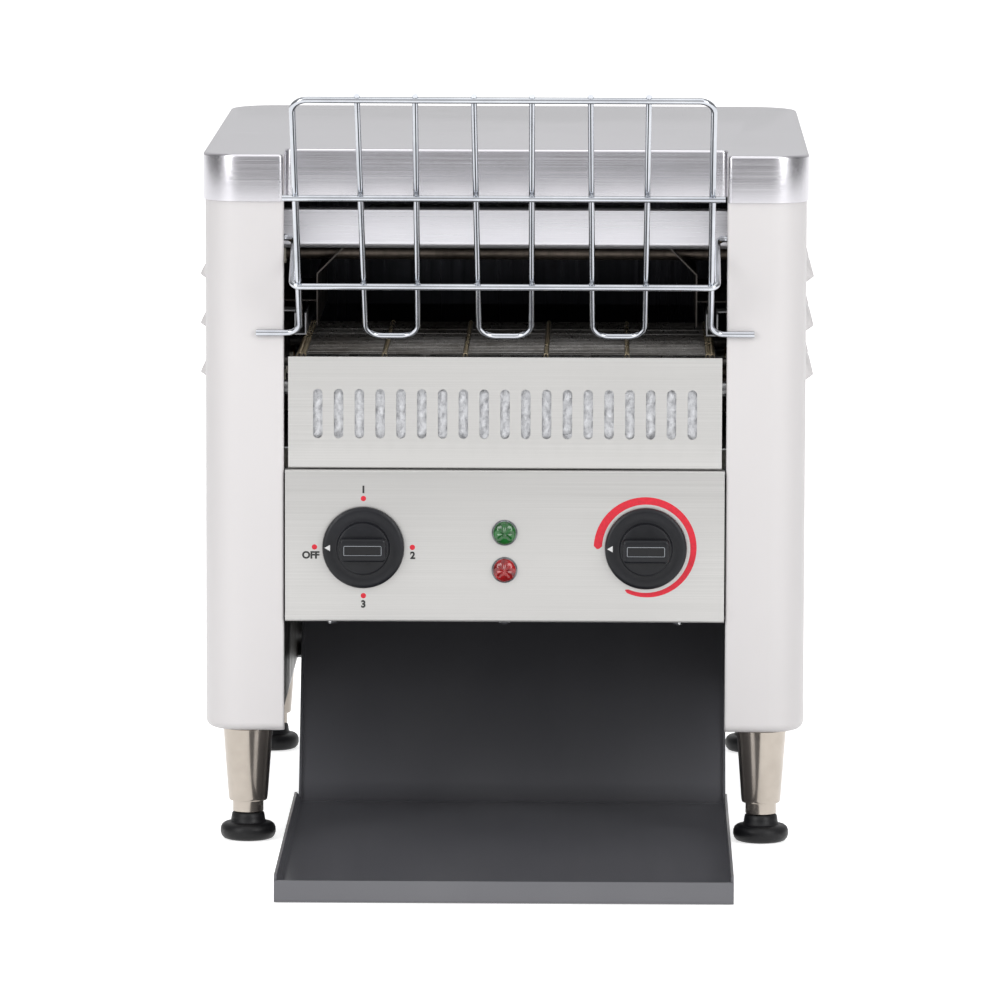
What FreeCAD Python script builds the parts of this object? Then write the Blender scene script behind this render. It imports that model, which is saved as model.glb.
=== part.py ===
import FreeCAD, Part
import math
import operator
import os
import Sketcher

# Countertop conveyor toaster.
# X runs across the machine, Y from the feed side to the back, Z up from the table.
# Every piece is drawn with Y = 0 on the front faces of the two side pillars, and
# one shift in Y then puts the origin under the middle of the whole machine.

doc = FreeCAD.newDocument("conveyor_toaster")

# Driving dimensions in millimetres and degrees: alias, value, meaning
SIZES = [
    ("body_width", 356.0, "over the two painted side panels"),
    ("body_depth", 387.0, "pillar fronts to the back of the side panels"),
    ("top_level", 411.0, "top of the cover above the table"),
    ("floor_level", 67.3, "underside of the body above the table"),
    ("pillar_width", 47.2, "front of each side panel"),
    ("wall_lap", 3.7, "inner faces of the inner walls outside the pillars' inner edges"),
    ("front_corner", 22.0, "radius of the front outer corners of the side panels"),
    ("rear_corner", 29.0, "radius of the rear outer corners of the side panels"),
    ("bottom_edge", 5.0, "radius of the bottom outer edge of the side panels"),
    ("panel_sheet", 1.2, "side panels, rear cover and slotted front"),
    ("wall_sheet", 1.0, "inner walls and control box"),
    ("cover_sheet", 1.0, "top cover"),
    ("base_sheet", 1.5, "base plate"),
    ("liner_sheet", 0.8, "reflectors, nose guard and belt pan"),
    ("tray_sheet", 1.5, "discharge tray and toast slide"),
    ("face_sheet", 1.5, "control panel"),
    ("loose_fit", 0.3, "gap between parts that only lie beside each other"),
    ("cover_overhang", 1.2, "cover outside the side panels"),
    ("skirt_height", 28.0, "skirt of the top cover"),
    ("recess_depth", 42.0, "recess between the front ends of the top cover"),
    ("cover_edge", 1.6, "radius of the top edge of the cover"),
    ("panel_flange", 9.0, "inward flange at the bottom of a side panel"),
    ("rear_wrap", 40.0, "part of the back that each side panel covers"),
    ("hem_depth", 5.0, "folded inner edge of each pillar front"),
    ("louvre_length", 103.0, "one louvre"),
    ("louvre_reach", 6.0, "louvre outside the side panel"),
    ("louvre_slope", 10.0, "height of the long upper face of a louvre"),
    ("louvre_lip", 4.0, "height of the short lower face of a louvre"),
    ("louvre_pitch", 29.5, "between louvre rows"),
    ("louvre_rows", 3, "louvre rows on each side"),
    ("lowest_louvre", 273.0, "outer edge of the lowest louvre above the table"),
    ("louvre_front", 75.0, "front end of the front louvres"),
    ("louvre_step", 130.0, "between the two columns of louvres"),
    ("wall_flange", 8.0, "outward flanges of the inner walls"),
    ("rear_strip", 84.0, "cross strip of the base plate at the back"),
    ("screw_radius", 3.6, "heads of the cover screws"),
    ("screw_head", 2.0, "height of a cover screw head"),
    ("screw_shank", 1.9, "radius of a cover screw's shank"),
    ("leg_margin", 25.0, "leg centres inside the side panels' faces"),
    ("leg_inset", 19.0, "leg centres from the front and the back"),
    ("leg_radius", 14.8, "leg at its top"),
    ("leg_tip", 11.5, "leg at its lower shoulder"),
    ("leg_neck", 9.2, "collar under the lower shoulder"),
    ("neck_height", 7.0, "height of that collar"),
    ("leg_boss", 9.0, "boss that carries the base plate"),
    ("stud_radius", 5.0, "levelling screw and leg stud"),
    ("foot_radius", 16.5, "rubber disc of a foot"),
    ("foot_disc", 10.0, "height of the rubber disc"),
    ("foot_hub", 16.0, "height of the whole rubber foot"),
    ("hub_radius", 10.0, "hub above the rubber disc"),
    ("foot_screw", 36.0, "levelling screw above the foot"),
    ("thread_fit", 0.08, "radial clearance of turning fits"),
    ("belt_level", 291.0, "top of the belt above the table"),
    ("belt_margin", 11.5, "edge loops of the belt inside the inner walls"),
    ("belt_wire", 2.0, "belt wire diameter"),
    ("belt_bend", 21.0, "radius of the belt's centre line at its ends"),
    ("belt_front", 31.0, "idler shaft behind the pillar fronts"),
    ("belt_length", 183.0, "between the idler and drive shafts"),
    ("belt_rods", 11, "cross wires in each straight run"),
    ("belt_spaces", 5, "spaces across the belt"),
    ("link_width", 3.0, "row of wire loops along the belt"),
    ("guide_cover", 4.0, "belt guides over the belt's edges"),
    ("guide_width", 7.0, "belt guide from side to side"),
    ("guide_foot", 300.0, "bottom of the belt guides above the table"),
    ("guide_height", 13.0, "height of a belt guide"),
    ("guide_front", 40.0, "front ends of the belt guides"),
    ("guide_tab", 18.0, "tab that joins a guide to the wall"),
    ("shaft_radius", 5.0, "drive and idler shafts"),
    ("shaft_fit", 0.06, "radial clearance in the bushes"),
    ("bush_radius", 8.0, "outside of a shaft bush"),
    ("bush_flange", 11.0, "flange of a shaft bush"),
    ("bush_length", 7.0, "length of a shaft bush"),
    ("wheel_width", 6.0, "belt sprockets and idler rollers"),
    ("wheel_root", 16.5, "sprocket between its teeth"),
    ("wheel_gap", 0.4, "between belt wheels and the belt wires"),
    ("wheel_teeth", 8, "teeth on a belt sprocket"),
    ("chain_offset", 22.5, "chain line outside the inner wall"),
    ("chain_pitch", 6.35, "roller chain"),
    ("chain_roller", 3.3, "diameter of the chain rollers"),
    ("chain_width", 5.2, "over the chain's side plates"),
    ("chain_plate", 0.8, "thickness of a side plate"),
    ("motor_teeth", 9, "motor sprocket"),
    ("shaft_teeth", 20, "sprocket on the drive shaft"),
    ("motor_back", 85.0, "motor shaft behind the pillar fronts"),
    ("motor_level", 178.0, "motor shaft above the table"),
    ("motor_shaft", 4.0, "radius of the motor's output shaft"),
    ("gearbox_side", 56.0, "square gearbox of the motor"),
    ("gearbox_length", 24.0, "gearbox along its shaft"),
    ("motor_radius", 25.0, "motor can"),
    ("motor_length", 34.0, "motor can along its shaft"),
    ("heater_radius", 4.5, "tubular heating elements"),
    ("heater_count", 3, "elements above and below the belt"),
    ("heater_front", 49.0, "first element behind the idler shaft"),
    ("heater_rear", 34.0, "last element in front of the drive shaft"),
    ("upper_level", 346.0, "upper elements above the table"),
    ("lower_level", 268.0, "lower elements above the table"),
    ("insulator_radius", 7.0, "ceramic collar at an element's end"),
    ("insulator_length", 10.0, "ceramic collar outside the wall"),
    ("liner_margin", 21.5, "upright sides of the upper reflector inside the walls"),
    ("liner_foot", 303.0, "lower edge of those sides above the table"),
    ("liner_knee", 334.0, "where those sides lean inwards"),
    ("liner_roof", 362.0, "roof of the upper reflector above the table"),
    ("liner_front", 64.0, "front of the reflectors"),
    ("nose_top", 374.5, "top of the nose guard above the table"),
    ("nose_foot", 351.0, "bottom of the nose guard above the table"),
    ("nose_front", 46.0, "face of the nose guard"),
    ("nose_depth", 15.0, "nose guard from front to back"),
    ("slot_panel_gap", 2.6, "slotted panel inside the pillars' edges"),
    ("slot_panel_foot", 224.7, "bottom of the slotted panel above the table"),
    ("slot_count", 19, "slots in the front panel"),
    ("slot_pitch", 12.3, "between slots"),
    ("slot_width", 5.6, "one slot"),
    ("slot_foot", 242.5, "bottom of the slots above the table"),
    ("slot_height", 29.4, "height of a slot"),
    ("panel_setback", 0.5, "slotted panel behind the pillar fronts"),
    ("pad_thickness", 4.0, "insulation behind the slotted panel"),
    ("face_gap", 0.8, "control panel inside the pillars' edges"),
    ("face_foot", 133.5, "bottom of the control panel above the table"),
    ("face_height", 90.5, "height of the control panel"),
    ("face_proud", 2.0, "control panel in front of the pillars"),
    ("face_flange", 16.0, "folded edges of the control panel"),
    ("box_depth", 119.0, "back of the control box behind the pillar fronts"),
    ("knob_side", 83.6, "knob centres from the middle"),
    ("knob_level", 178.0, "knob centres above the table"),
    ("knob_radius", 24.25, "rim of a knob"),
    ("knob_gap", 1.0, "between a knob and the panel"),
    ("knob_rim", 3.6, "thickness of a knob's rim"),
    ("boss_radius", 15.6, "round boss of a knob"),
    ("boss_height", 5.0, "boss above the rim"),
    ("grip_length", 27.5, "grip bar of a knob"),
    ("grip_width", 13.8, "thickness of the grip bar"),
    ("grip_height", 8.0, "grip bar above the boss"),
    ("insert_length", 22.4, "metal insert of a grip bar"),
    ("insert_width", 5.9, "metal insert of a grip bar"),
    ("insert_sink", 0.5, "depth of the insert's pocket"),
    ("insert_proud", 0.2, "insert in front of the grip bar"),
    ("spindle_radius", 3.0, "spindle of a knob"),
    ("spindle_reach", 8.0, "spindle behind the panel"),
    ("neck_radius", 4.6, "threaded neck of the switch and the speed control"),
    ("switch_side", 44.0, "square body of the selector switch"),
    ("switch_depth", 28.0, "depth of the selector switch"),
    ("control_radius", 12.0, "round body of the speed control"),
    ("control_depth", 15.0, "depth of the speed control"),
    ("power_lamp_level", 187.0, "upper lamp above the table"),
    ("heat_lamp_level", 164.8, "lower lamp above the table"),
    ("lens_radius", 6.2, "lamp lens"),
    ("lens_proud", 5.0, "lamp lens in front of the panel"),
    ("bezel_radius", 7.65, "lamp bezel"),
    ("bezel_proud", 1.8, "lamp bezel in front of the panel"),
    ("holder_length", 16.0, "lamp holder behind the panel"),
    ("wire_radius", 1.9, "frame wire of the rack"),
    ("grid_radius", 1.75, "inner wires of the rack"),
    ("rack_angle", 50.5, "rack above the horizontal"),
    ("rack_margin", 9.8, "side wires of the rack inside the pillars' edges"),
    ("rack_length", 190.0, "rack feet to its top rod, along the rack"),
    ("rack_foot_level", 305.4, "rack feet above the table"),
    ("rack_foot", 26.0, "rack feet outside its side wires"),
    ("rack_corner", 8.5, "bend radius of the frame wire"),
    ("middle_rod", 113.5, "middle rod above the feet, along the rack"),
    ("middle_rod_over", 7.5, "middle rod outside the side wires"),
    ("lower_rod", 41.0, "lower rod above the feet, along the rack"),
    ("arm_over", 3.8, "rack arms outside the side wires"),
    ("arm_bend", 5.0, "bend radius of the rack arms"),
    ("pivot_back", 8.0, "rack pivot behind the pillar fronts"),
    ("pivot_level", 361.0, "rack pivot above the table"),
    ("pivot_over", 3.5, "ends of the rack pivots outside the inner walls"),
    ("loop_spacing", 67.0, "between the rack's wire loops"),
    ("loop_width", 32.2, "width of a wire loop"),
    ("loop_bend", 10.0, "bend radius of a wire loop"),
    ("loop_count", 3, "wire loops in the rack"),
    ("loop_drop", 3.2, "loops below the rack feet, along the rack"),
    ("loop_stub", 2.5, "loop ends above the top rod"),
    ("tray_margin", 0.2, "tray wider than the pillars' edges on each side"),
    ("tray_shift", 2.8, "tray to the right of the middle, as it lies loose"),
    ("tray_reach", 206.0, "tray in front of the pillars"),
    ("tray_lip", 13.0, "height of the tray's front lip"),
    ("tray_bend", 158.0, "foot of the ramp behind the pillar fronts"),
    ("tray_bend_radius", 18.0, "inside radius at the foot of the ramp"),
    ("ramp_angle", 64.0, "ramp above the horizontal"),
    ("tray_ramp", 166.0, "ramp of the tray, along its slope"),
    ("tray_side", 16.0, "height of the tray's sides"),
    ("tray_side_end", 92.0, "back end of the tall sides behind the pillar fronts"),
    ("ramp_side", 3.5, "height of the sides along the ramp"),
    ("slide_length", 160.0, "toast slide, along its slope"),
    ("slide_top", 372.0, "top of the toast slide's upright back"),
    ("slide_gap", 0.5, "toast slide inside the inner walls"),
    ("fan_side", 80.0, "square frame of the fan"),
    ("fan_depth", 25.0, "fan from front to back"),
    ("fan_bore", 37.5, "radius of the fan's opening"),
    ("fan_centre", 60.0, "fan centre left of the middle"),
    ("fan_level", 150.0, "fan centre above the table"),
    ("fan_hub", 15.0, "radius of the fan's hub"),
    ("fan_blade_tip", 36.0, "radius to the blade tips"),
    ("fan_blades", 7, "blades"),
    ("guard_wire", 1.5, "radius of the fan guard's wire"),
    ("guard_ring", 12.5, "radius of the fan guard's first ring"),
    ("guard_rings", 3, "rings of the fan guard"),
    ("guard_hold", 45.5, "fan guard's screw ears from the fan centre"),
    ("gland_centre", 95.0, "cord gland right of the middle"),
    ("gland_level", 105.0, "cord gland above the table"),
    ("gland_radius", 12.0, "flange of the cord gland"),
    ("gland_reach", 13.0, "cord gland behind the body"),
    ("gland_bore", 4.5, "radius of the cord gland's bore"),
    ("terminal_length", 60.0, "terminal block"),
    ("terminal_height", 20.0, "terminal block"),
    ("terminal_depth", 22.0, "terminal block"),
]

sheet = doc.addObject("Spreadsheet::Sheet", "Sizes")
for row, (alias, number, meaning) in enumerate(SIZES, start=1):
    sheet.set(f"A{row}", alias)
    sheet.set(f"B{row}", str(number))
    sheet.set(f"C{row}", meaning)
    sheet.setAlias(f"B{row}", alias)
doc.recompute()


# Lengths that know both their number and their formula over the sheet

SIGNS = {"+": operator.add, "-": operator.sub, "*": operator.mul, "/": operator.truediv}


class Length:
    """A number together with the formula over the sheet's cells that gives it."""

    def __init__(self, number, formula=None):
        self.number = float(number)
        self.bound = formula is not None
        self.formula = formula or f"({self.number!r})"

    def __add__(self, other):
        return combined(self, "+", other)

    def __radd__(self, other):
        return combined(other, "+", self)

    def __sub__(self, other):
        return combined(self, "-", other)

    def __rsub__(self, other):
        return combined(other, "-", self)

    def __mul__(self, other):
        return combined(self, "*", other)

    def __rmul__(self, other):
        return combined(other, "*", self)

    def __truediv__(self, other):
        return combined(self, "/", other)

    def __neg__(self):
        return combined(0, "-", self)

    def __float__(self):
        return self.number


def as_length(value):
    """Wraps a bare number as an unbound length."""
    return value if isinstance(value, Length) else Length(value)


def combined(left, sign, right):
    """Joins two lengths by one sign, in number and in formula."""
    first = as_length(left)
    second = as_length(right)
    number = SIGNS[sign](first.number, second.number)
    if not first.bound and not second.bound:
        return Length(number)
    return Length(number, f"({first.formula} {sign} {second.formula})")


def sine(angle):
    """Sine of an angle in degrees."""
    return Length(math.sin(math.radians(float(angle))), f"sin({angle.formula})")


def cosine(angle):
    """Cosine of an angle in degrees."""
    return Length(math.cos(math.radians(float(angle))), f"cos({angle.formula})")


def tangent(angle):
    """Tangent of an angle in degrees."""
    return Length(math.tan(math.radians(float(angle))), f"tan({angle.formula})")


class Cells:
    """Gives each driving dimension of the sheet as a bound length."""

    def __getattr__(self, alias):
        return Length(sheet.get(alias), f"Sizes.{alias}")


s = Cells()


# Binding sizes and finishing nodes

nodes = []
shift = (s.tray_reach - s.body_depth - s.gland_reach) / 2


def bind(item, **sizes):
    """Sets properties of an object from lengths, by formula where they have one."""
    for name, length in sizes.items():
        length = as_length(length)
        path = name.replace("__", ".")
        if length.bound:
            item.setExpression(path, length.formula)
        elif "." not in path:
            setattr(item, path, length.number)
    return item


def place(item, x=0, y=0, z=0, rotation=None):
    """Places an object at bound coordinates with a fixed rotation."""
    base = FreeCAD.Vector(float(x), float(y), float(z))
    item.Placement = FreeCAD.Placement(base, rotation or FreeCAD.Rotation())
    return bind(item, Placement__Base__x=x, Placement__Base__y=y, Placement__Base__z=z)


def node(label, item):
    """Names a finished sub-part and moves it from the pillar datum to the origin."""
    item.Label = label
    bind(item, Placement__Base__y=shift)
    nodes.append(item)
    return item


def vector(x, y, z):
    """A vector from lengths or numbers."""
    return FreeCAD.Vector(float(x), float(y), float(z))


ALONG_X = FreeCAD.Rotation(FreeCAD.Vector(0, 1, 0), 90)
ALONG_Y = FreeCAD.Rotation(FreeCAD.Vector(1, 0, 0), -90)
SIDES = (("left", -1), ("right", 1))


# Part primitives and booleans

def box(name, x, y, z):
    """A box between pairs of coordinates."""
    item = doc.addObject("Part::Box", name)
    bind(item, Length=as_length(x[1]) - x[0], Width=as_length(y[1]) - y[0])
    bind(item, Height=as_length(z[1]) - z[0])
    return place(item, x[0], y[0], z[0])


def rod(name, radius, along, low, high, first=0, second=0):
    """A cylinder along an axis; first and second are its other two coordinates."""
    item = doc.addObject("Part::Cylinder", name)
    bind(item, Radius=radius, Height=as_length(high) - low)
    if along == "X":
        return place(item, low, first, second, ALONG_X)
    if along == "Y":
        return place(item, first, low, second, ALONG_Y)
    return place(item, first, second, low)


def ring(name, outer, inner, along, low, high, first=0, second=0):
    """A tube along an axis."""
    return cut(name, rod(name + "_outside", outer, along, low, high, first, second),
               [rod(name + "_bore", inner, along, low - 1, as_length(high) + 1, first, second)])


def cut(name, base, tools):
    """Takes tools away from a base, one after another."""
    for count, tool in enumerate(tools):
        item = doc.addObject("Part::Cut", f"{name}_cut{count}")
        item.Base = base
        item.Tool = tool
        base = item
    return base


def fuse(name, items):
    """Joins overlapping or touching solids into one."""
    item = doc.addObject("Part::MultiFuse", name)
    item.Shapes = items
    item.Refine = True
    return item


def group(name, items):
    """Holds separate solids together as one sub-part."""
    item = doc.addObject("Part::Compound", name)
    item.Links = items
    return item


def mirrored(name, item, normal, base=(0, 0, 0)):
    """A mirrored copy of a piece."""
    copy = doc.addObject("Part::Mirroring", name)
    copy.Source = item
    copy.Normal = FreeCAD.Vector(*normal)
    copy.Base = vector(*base)
    for axis, value in zip("xyz", base):
        if isinstance(value, Length):
            copy.setExpression(f"Base.{axis}", value.formula)
    return copy


def shaped(name, shape):
    """A sub-part whose shape is made from the sheet's values by Part functions."""
    item = doc.addObject("Part::Feature", name)
    item.Shape = Part.makeCompound([shape])
    return item


# PartDesign bodies, sketches and features

def new_body(name):
    """An empty body."""
    return doc.addObject("PartDesign::Body", name)


def rectangle(x0, x1, y0, y1):
    """Corner points of a rectangle."""
    return [(x0, y0), (x1, y0), (x1, y1), (x0, y1)]


def pin_point(sketch, geometry, position, x, y):
    """Fixes one sketch point by bound coordinates."""
    for kind, value in (("DistanceX", x), ("DistanceY", y)):
        value = as_length(value)
        index = sketch.addConstraint(
            Sketcher.Constraint(kind, -1, 1, geometry, position, value.number))
        if value.bound:
            sketch.setExpression(f"Constraints[{index}]", value.formula)


def sketched(body, plane, name, outlines, level=0):
    """A sketch of polygons (lists of points) and circles (x, y, radius) at a level."""
    sketch = body.newObject("Sketcher::SketchObject", name)
    for feature in body.Origin.OriginFeatures:
        if feature.Role == plane + "_Plane":
            sketch.AttachmentSupport = [(feature, "")]
    sketch.MapMode = "FlatFace"
    bind(sketch, AttachmentOffset__Base__z=-as_length(level) if plane == "XZ" else level)
    for outline in outlines:
        if isinstance(outline, tuple):
            x, y, radius = outline
            circle = Part.Circle(vector(x, y, 0), FreeCAD.Vector(0, 0, 1), float(radius))
            index = sketch.addGeometry(circle)
            pin_point(sketch, index, 3, x, y)
            radius = as_length(radius)
            size = sketch.addConstraint(Sketcher.Constraint("Radius", index, radius.number))
            if radius.bound:
                sketch.setExpression(f"Constraints[{size}]", radius.formula)
            continue
        lines = []
        for start, end in zip(outline, outline[1:] + outline[:1]):
            lines.append(sketch.addGeometry(
                Part.LineSegment(vector(start[0], start[1], 0), vector(end[0], end[1], 0))))
        for this, after, point in zip(lines, lines[1:] + lines[:1], outline):
            sketch.addConstraint(Sketcher.Constraint("Coincident", this, 2, after, 1))
            pin_point(sketch, this, 1, point[0], point[1])
    return sketch


def settle(body, feature, kind):
    """Recomputes and makes sure that a feature changed the solid as it should."""
    before = feature.BaseFeature.Shape.Volume if feature.BaseFeature else 0
    doc.recompute()
    after = feature.Shape.Volume
    good = after > before if kind == "adds" else after < before
    if not good:
        raise RuntimeError(f"{body.Name}: {feature.Name} left the solid as it was")
    return feature


def pad(body, plane, outlines, low, high):
    """Adds the outlines' area between two levels across the plane."""
    name = f"{body.Name}_pad{len(body.Group)}"
    level = high if plane == "XZ" else low
    profile = sketched(body, plane, name + "_sketch", outlines, level)
    feature = body.newObject("PartDesign::Pad", name)
    feature.Profile = profile
    bind(feature, Length=as_length(high) - low)
    return settle(body, feature, "adds")


def pocket(body, plane, outlines, low, high):
    """Takes the outlines' area away between two levels across the plane."""
    name = f"{body.Name}_pocket{len(body.Group)}"
    level = low if plane == "XZ" else high
    profile = sketched(body, plane, name + "_sketch", outlines, level)
    feature = body.newObject("PartDesign::Pocket", name)
    feature.Profile = profile
    bind(feature, Length=as_length(high) - low)
    return settle(body, feature, "cuts")


def revolve(body, outline, plane="XZ", axis="V_Axis"):
    """Turns an outline about an axis of its plane."""
    name = f"{body.Name}_turn{len(body.Group)}"
    profile = sketched(body, plane, name + "_sketch", [outline])
    feature = body.newObject("PartDesign::Revolution", name)
    feature.Profile = profile
    feature.ReferenceAxis = (profile, [axis])
    feature.Angle = 360
    return settle(body, feature, "adds")


def pattern(body, feature, direction, span, count):
    """Repeats a feature along one of the body's axes."""
    repeat = body.newObject("PartDesign::LinearPattern", f"{body.Name}_row{len(body.Group)}")
    repeat.Originals = [feature]
    for axis in body.Origin.OriginFeatures:
        if axis.Role == direction + "_Axis":
            repeat.Direction = (axis, [""])
    bind(repeat, Length=span)
    if isinstance(count, Length):
        bind(repeat, Occurrences=count)
    else:
        repeat.Occurrences = count
    body.Tip = repeat
    doc.recompute()
    return repeat


def edge_names(shape, wanted):
    """Names of the edges whose box passes a test."""
    return [f"Edge{index}" for index, edge in enumerate(shape.Edges, start=1)
            if wanted(edge.BoundBox)]


def rounded(body, radius, wanted):
    """Rounds the edges of the body's tip that pass a test."""
    tip = body.Tip
    feature = body.newObject("PartDesign::Fillet", f"{body.Name}_round{len(body.Group)}")
    feature.Base = (tip, edge_names(tip.Shape, wanted))
    bind(feature, Radius=radius)
    doc.recompute()
    return feature


def shelled(body, thickness, open_faces):
    """Hollows the body's tip to a wall of one thickness, open at some faces."""
    tip = body.Tip
    faces = [f"Face{index}" for index, face in enumerate(tip.Shape.Faces, start=1)
             if open_faces(face.BoundBox)]
    feature = body.newObject("PartDesign::Thickness", f"{body.Name}_shell{len(body.Group)}")
    feature.Base = (tip, faces)
    feature.Reversed = True
    bind(feature, Value=thickness)
    return settle(body, feature, "cuts")


def near(value, target, slack=0.01):
    """True where two numbers agree closely."""
    return abs(value - float(target)) < slack


def upright_at(x, y):
    """Test for an upright edge at one place."""
    return lambda b: near(b.XMin, x) and near(b.XMax, x) and near(b.YMin, y) and near(b.YMax, y)


def ordered(first, second):
    """Two lengths from low to high."""
    return (first, second) if float(first) < float(second) else (second, first)


# Wires bent with tangent arcs

def bent_wire(points, radius):
    """A wire through points, straight between arcs of one radius at its corners."""
    edges = []
    start = points[0]
    for corner, after in zip(points[1:-1], points[2:]):
        inward = (corner - start).normalize()
        onward = (after - corner).normalize()
        turn = inward.getAngle(onward)
        leg = radius * math.tan(turn / 2)
        first = corner - inward * leg
        last = corner + onward * leg
        middle = (onward - inward).normalize()
        reach = radius / math.cos(turn / 2) - radius
        edges.append(Part.LineSegment(start, first).toShape())
        edges.append(Part.Arc(first, corner + middle * reach, last).toShape())
        start = last
    edges.append(Part.LineSegment(start, points[-1]).toShape())
    return Part.Wire(edges)


def tube_along(path, radius):
    """A round bar along a wire."""
    first = path.Edges[0]
    start = first.valueAt(first.FirstParameter)
    heading = first.tangentAt(first.FirstParameter)
    section = Part.Wire(Part.makeCircle(radius, start, heading))
    return path.makePipeShell([section], True, False)


# Levels and places that several pieces share

panel_face = s.body_width / 2
pillar_edge = panel_face - s.pillar_width
wall_inner = pillar_edge + s.wall_lap
wall_outer = wall_inner + s.wall_sheet
leg_side = panel_face - s.leg_margin
belt_half = wall_inner - s.belt_margin
guide_inner = belt_half - s.guide_cover
chain_plane = wall_outer + s.chain_offset
liner_side = wall_inner - s.liner_margin
heater_step = (s.belt_length - s.heater_front - s.heater_rear) / (s.heater_count - 1)
slot_panel_half = pillar_edge - s.slot_panel_gap
face_half = pillar_edge - s.face_gap
rack_half = pillar_edge - s.rack_margin
skirt_foot = s.top_level - s.skirt_height
cover_under = s.top_level - s.cover_sheet
base_low = s.floor_level + s.panel_sheet
base_high = base_low + s.base_sheet
back_inner = s.body_depth - s.panel_sheet
belt_axis = s.belt_level - s.belt_wire / 2 - s.belt_bend
drive_back = s.belt_front + s.belt_length
face_top = s.face_foot + s.face_height
face_back = s.face_sheet - s.face_proud
ramp_cos = cosine(s.ramp_angle)
ramp_sin = sine(s.ramp_angle)
ramp_corner = s.tray_sheet * tangent(s.ramp_angle / 2)


def on_ramp(along, up=0):
    """Y and Z of a point on the ramp's underside line, and up from it."""
    return (s.tray_bend + along * ramp_cos - up * ramp_sin, along * ramp_sin + up * ramp_cos)


# Casing

def side_panel(label, side):
    """Painted shell: pillar front, side, part of the back, bottom flange, louvres."""
    body = new_body(label)
    top = cover_under - s.loose_fit
    inner, outer = pillar_edge * side, panel_face * side
    low_x, high_x = ordered(inner, outer)
    pad(body, "XY", [rectangle(low_x, high_x, 0, s.body_depth)], s.floor_level, top)
    rounded(body, s.front_corner, upright_at(outer, 0))
    rounded(body, s.rear_corner, upright_at(outer, s.body_depth))
    foot = float(s.floor_level)

    def bottom_rim(b):
        level = near(b.ZMin, foot) and near(b.ZMax, foot)
        inside = near(b.XMin, inner) and near(b.XMax, inner)
        return level and not inside

    rounded(body, s.bottom_edge, bottom_rim)
    shelled(body, s.panel_sheet, lambda b: near(b.ZMin, top)
            or (near(b.XMin, inner) and near(b.XMax, inner)))
    flange = (panel_face - s.panel_flange) * side
    pocket(body, "XY", [rectangle(*ordered((pillar_edge - 1) * side, flange),
                                  s.panel_flange, s.body_depth - s.panel_flange)],
           s.floor_level - 1, base_low + 1)
    back_edge = (panel_face - s.rear_wrap) * side
    pocket(body, "XZ", [rectangle(*ordered((pillar_edge - 1) * side, back_edge),
                                  s.floor_level - 1, top + 1)],
           s.body_depth - s.panel_flange, s.body_depth + 1)
    hem = (pillar_edge + s.panel_sheet) * side
    hem_foot = s.floor_level + s.panel_sheet
    pad(body, "XY", [rectangle(*ordered(inner, hem), s.panel_sheet / 2, s.hem_depth)],
        hem_foot, skirt_foot - s.loose_fit)
    cheek = (pillar_edge + s.cover_sheet + s.loose_fit) * side
    pocket(body, "XZ", [rectangle(*ordered((pillar_edge - 1) * side, cheek),
                                  skirt_foot - s.loose_fit, top + 1)], -1, s.hem_depth + 1)
    columns = (s.louvre_front, s.louvre_front + s.louvre_step)
    rows = int(float(s.louvre_rows))

    def louvre(level, sink, reach):
        root = (panel_face - sink) * side
        crest = (panel_face + reach) * side
        return [(root, level + s.louvre_slope), (crest, level), (root, level - s.louvre_lip)]

    for start in columns:
        outlines = [louvre(s.lowest_louvre + s.louvre_pitch * row, s.panel_sheet / 2,
                           s.louvre_reach) for row in range(rows)]
        pad(body, "XZ", outlines, start, start + s.louvre_length)
    for start in columns:
        outlines = [louvre(s.lowest_louvre + s.louvre_pitch * row - s.panel_sheet * 1.5,
                           s.panel_sheet * 1.5, s.louvre_reach - s.panel_sheet / 2)
                    for row in range(rows)]
        pocket(body, "XZ", outlines, start + s.panel_sheet,
               start + s.louvre_length - s.panel_sheet)
    return node(label, body)


def top_cover():
    """Stainless cover with a skirt, open below, and a recess between the pillars."""
    body = new_body("top_cover")
    edge = panel_face + s.cover_overhang
    front = -s.cover_overhang
    rear = s.body_depth + s.cover_overhang
    outline = [(-edge, front), (-pillar_edge, front), (-pillar_edge, s.recess_depth),
               (pillar_edge, s.recess_depth), (pillar_edge, front), (edge, front),
               (edge, rear), (-edge, rear)]
    pad(body, "XY", [outline], skirt_foot, s.top_level)
    for side in (-1, 1):
        rounded(body, s.front_corner + s.cover_overhang, upright_at(edge * side, front))
        rounded(body, s.rear_corner + s.cover_overhang, upright_at(edge * side, rear))
    top = float(s.top_level)
    rounded(body, s.cover_edge, lambda b: near(b.ZMin, top) and near(b.ZMax, top))
    shelled(body, s.cover_sheet, lambda b: near(b.ZMax, skirt_foot))
    return node("top_cover", body)


def cross_holes(body, side):
    """Holes in an inner wall for shafts, elements and the rack's pivots."""
    low, high = ordered((wall_inner - 1) * side, (wall_outer + 1) * side)
    circles = [(s.belt_front, belt_axis, s.bush_radius), (drive_back, belt_axis, s.bush_radius),
               (s.pivot_back, s.pivot_level, s.wire_radius * 2)]
    for level in (s.upper_level, s.lower_level):
        for count in range(int(float(s.heater_count))):
            circles.append((s.belt_front + s.heater_front + heater_step * count, level, s.insulator_radius))
    if side > 0:
        circles.append((s.motor_back, s.motor_level, s.motor_shaft * 2))
    pocket(body, "YZ", circles, low, high)


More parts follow.
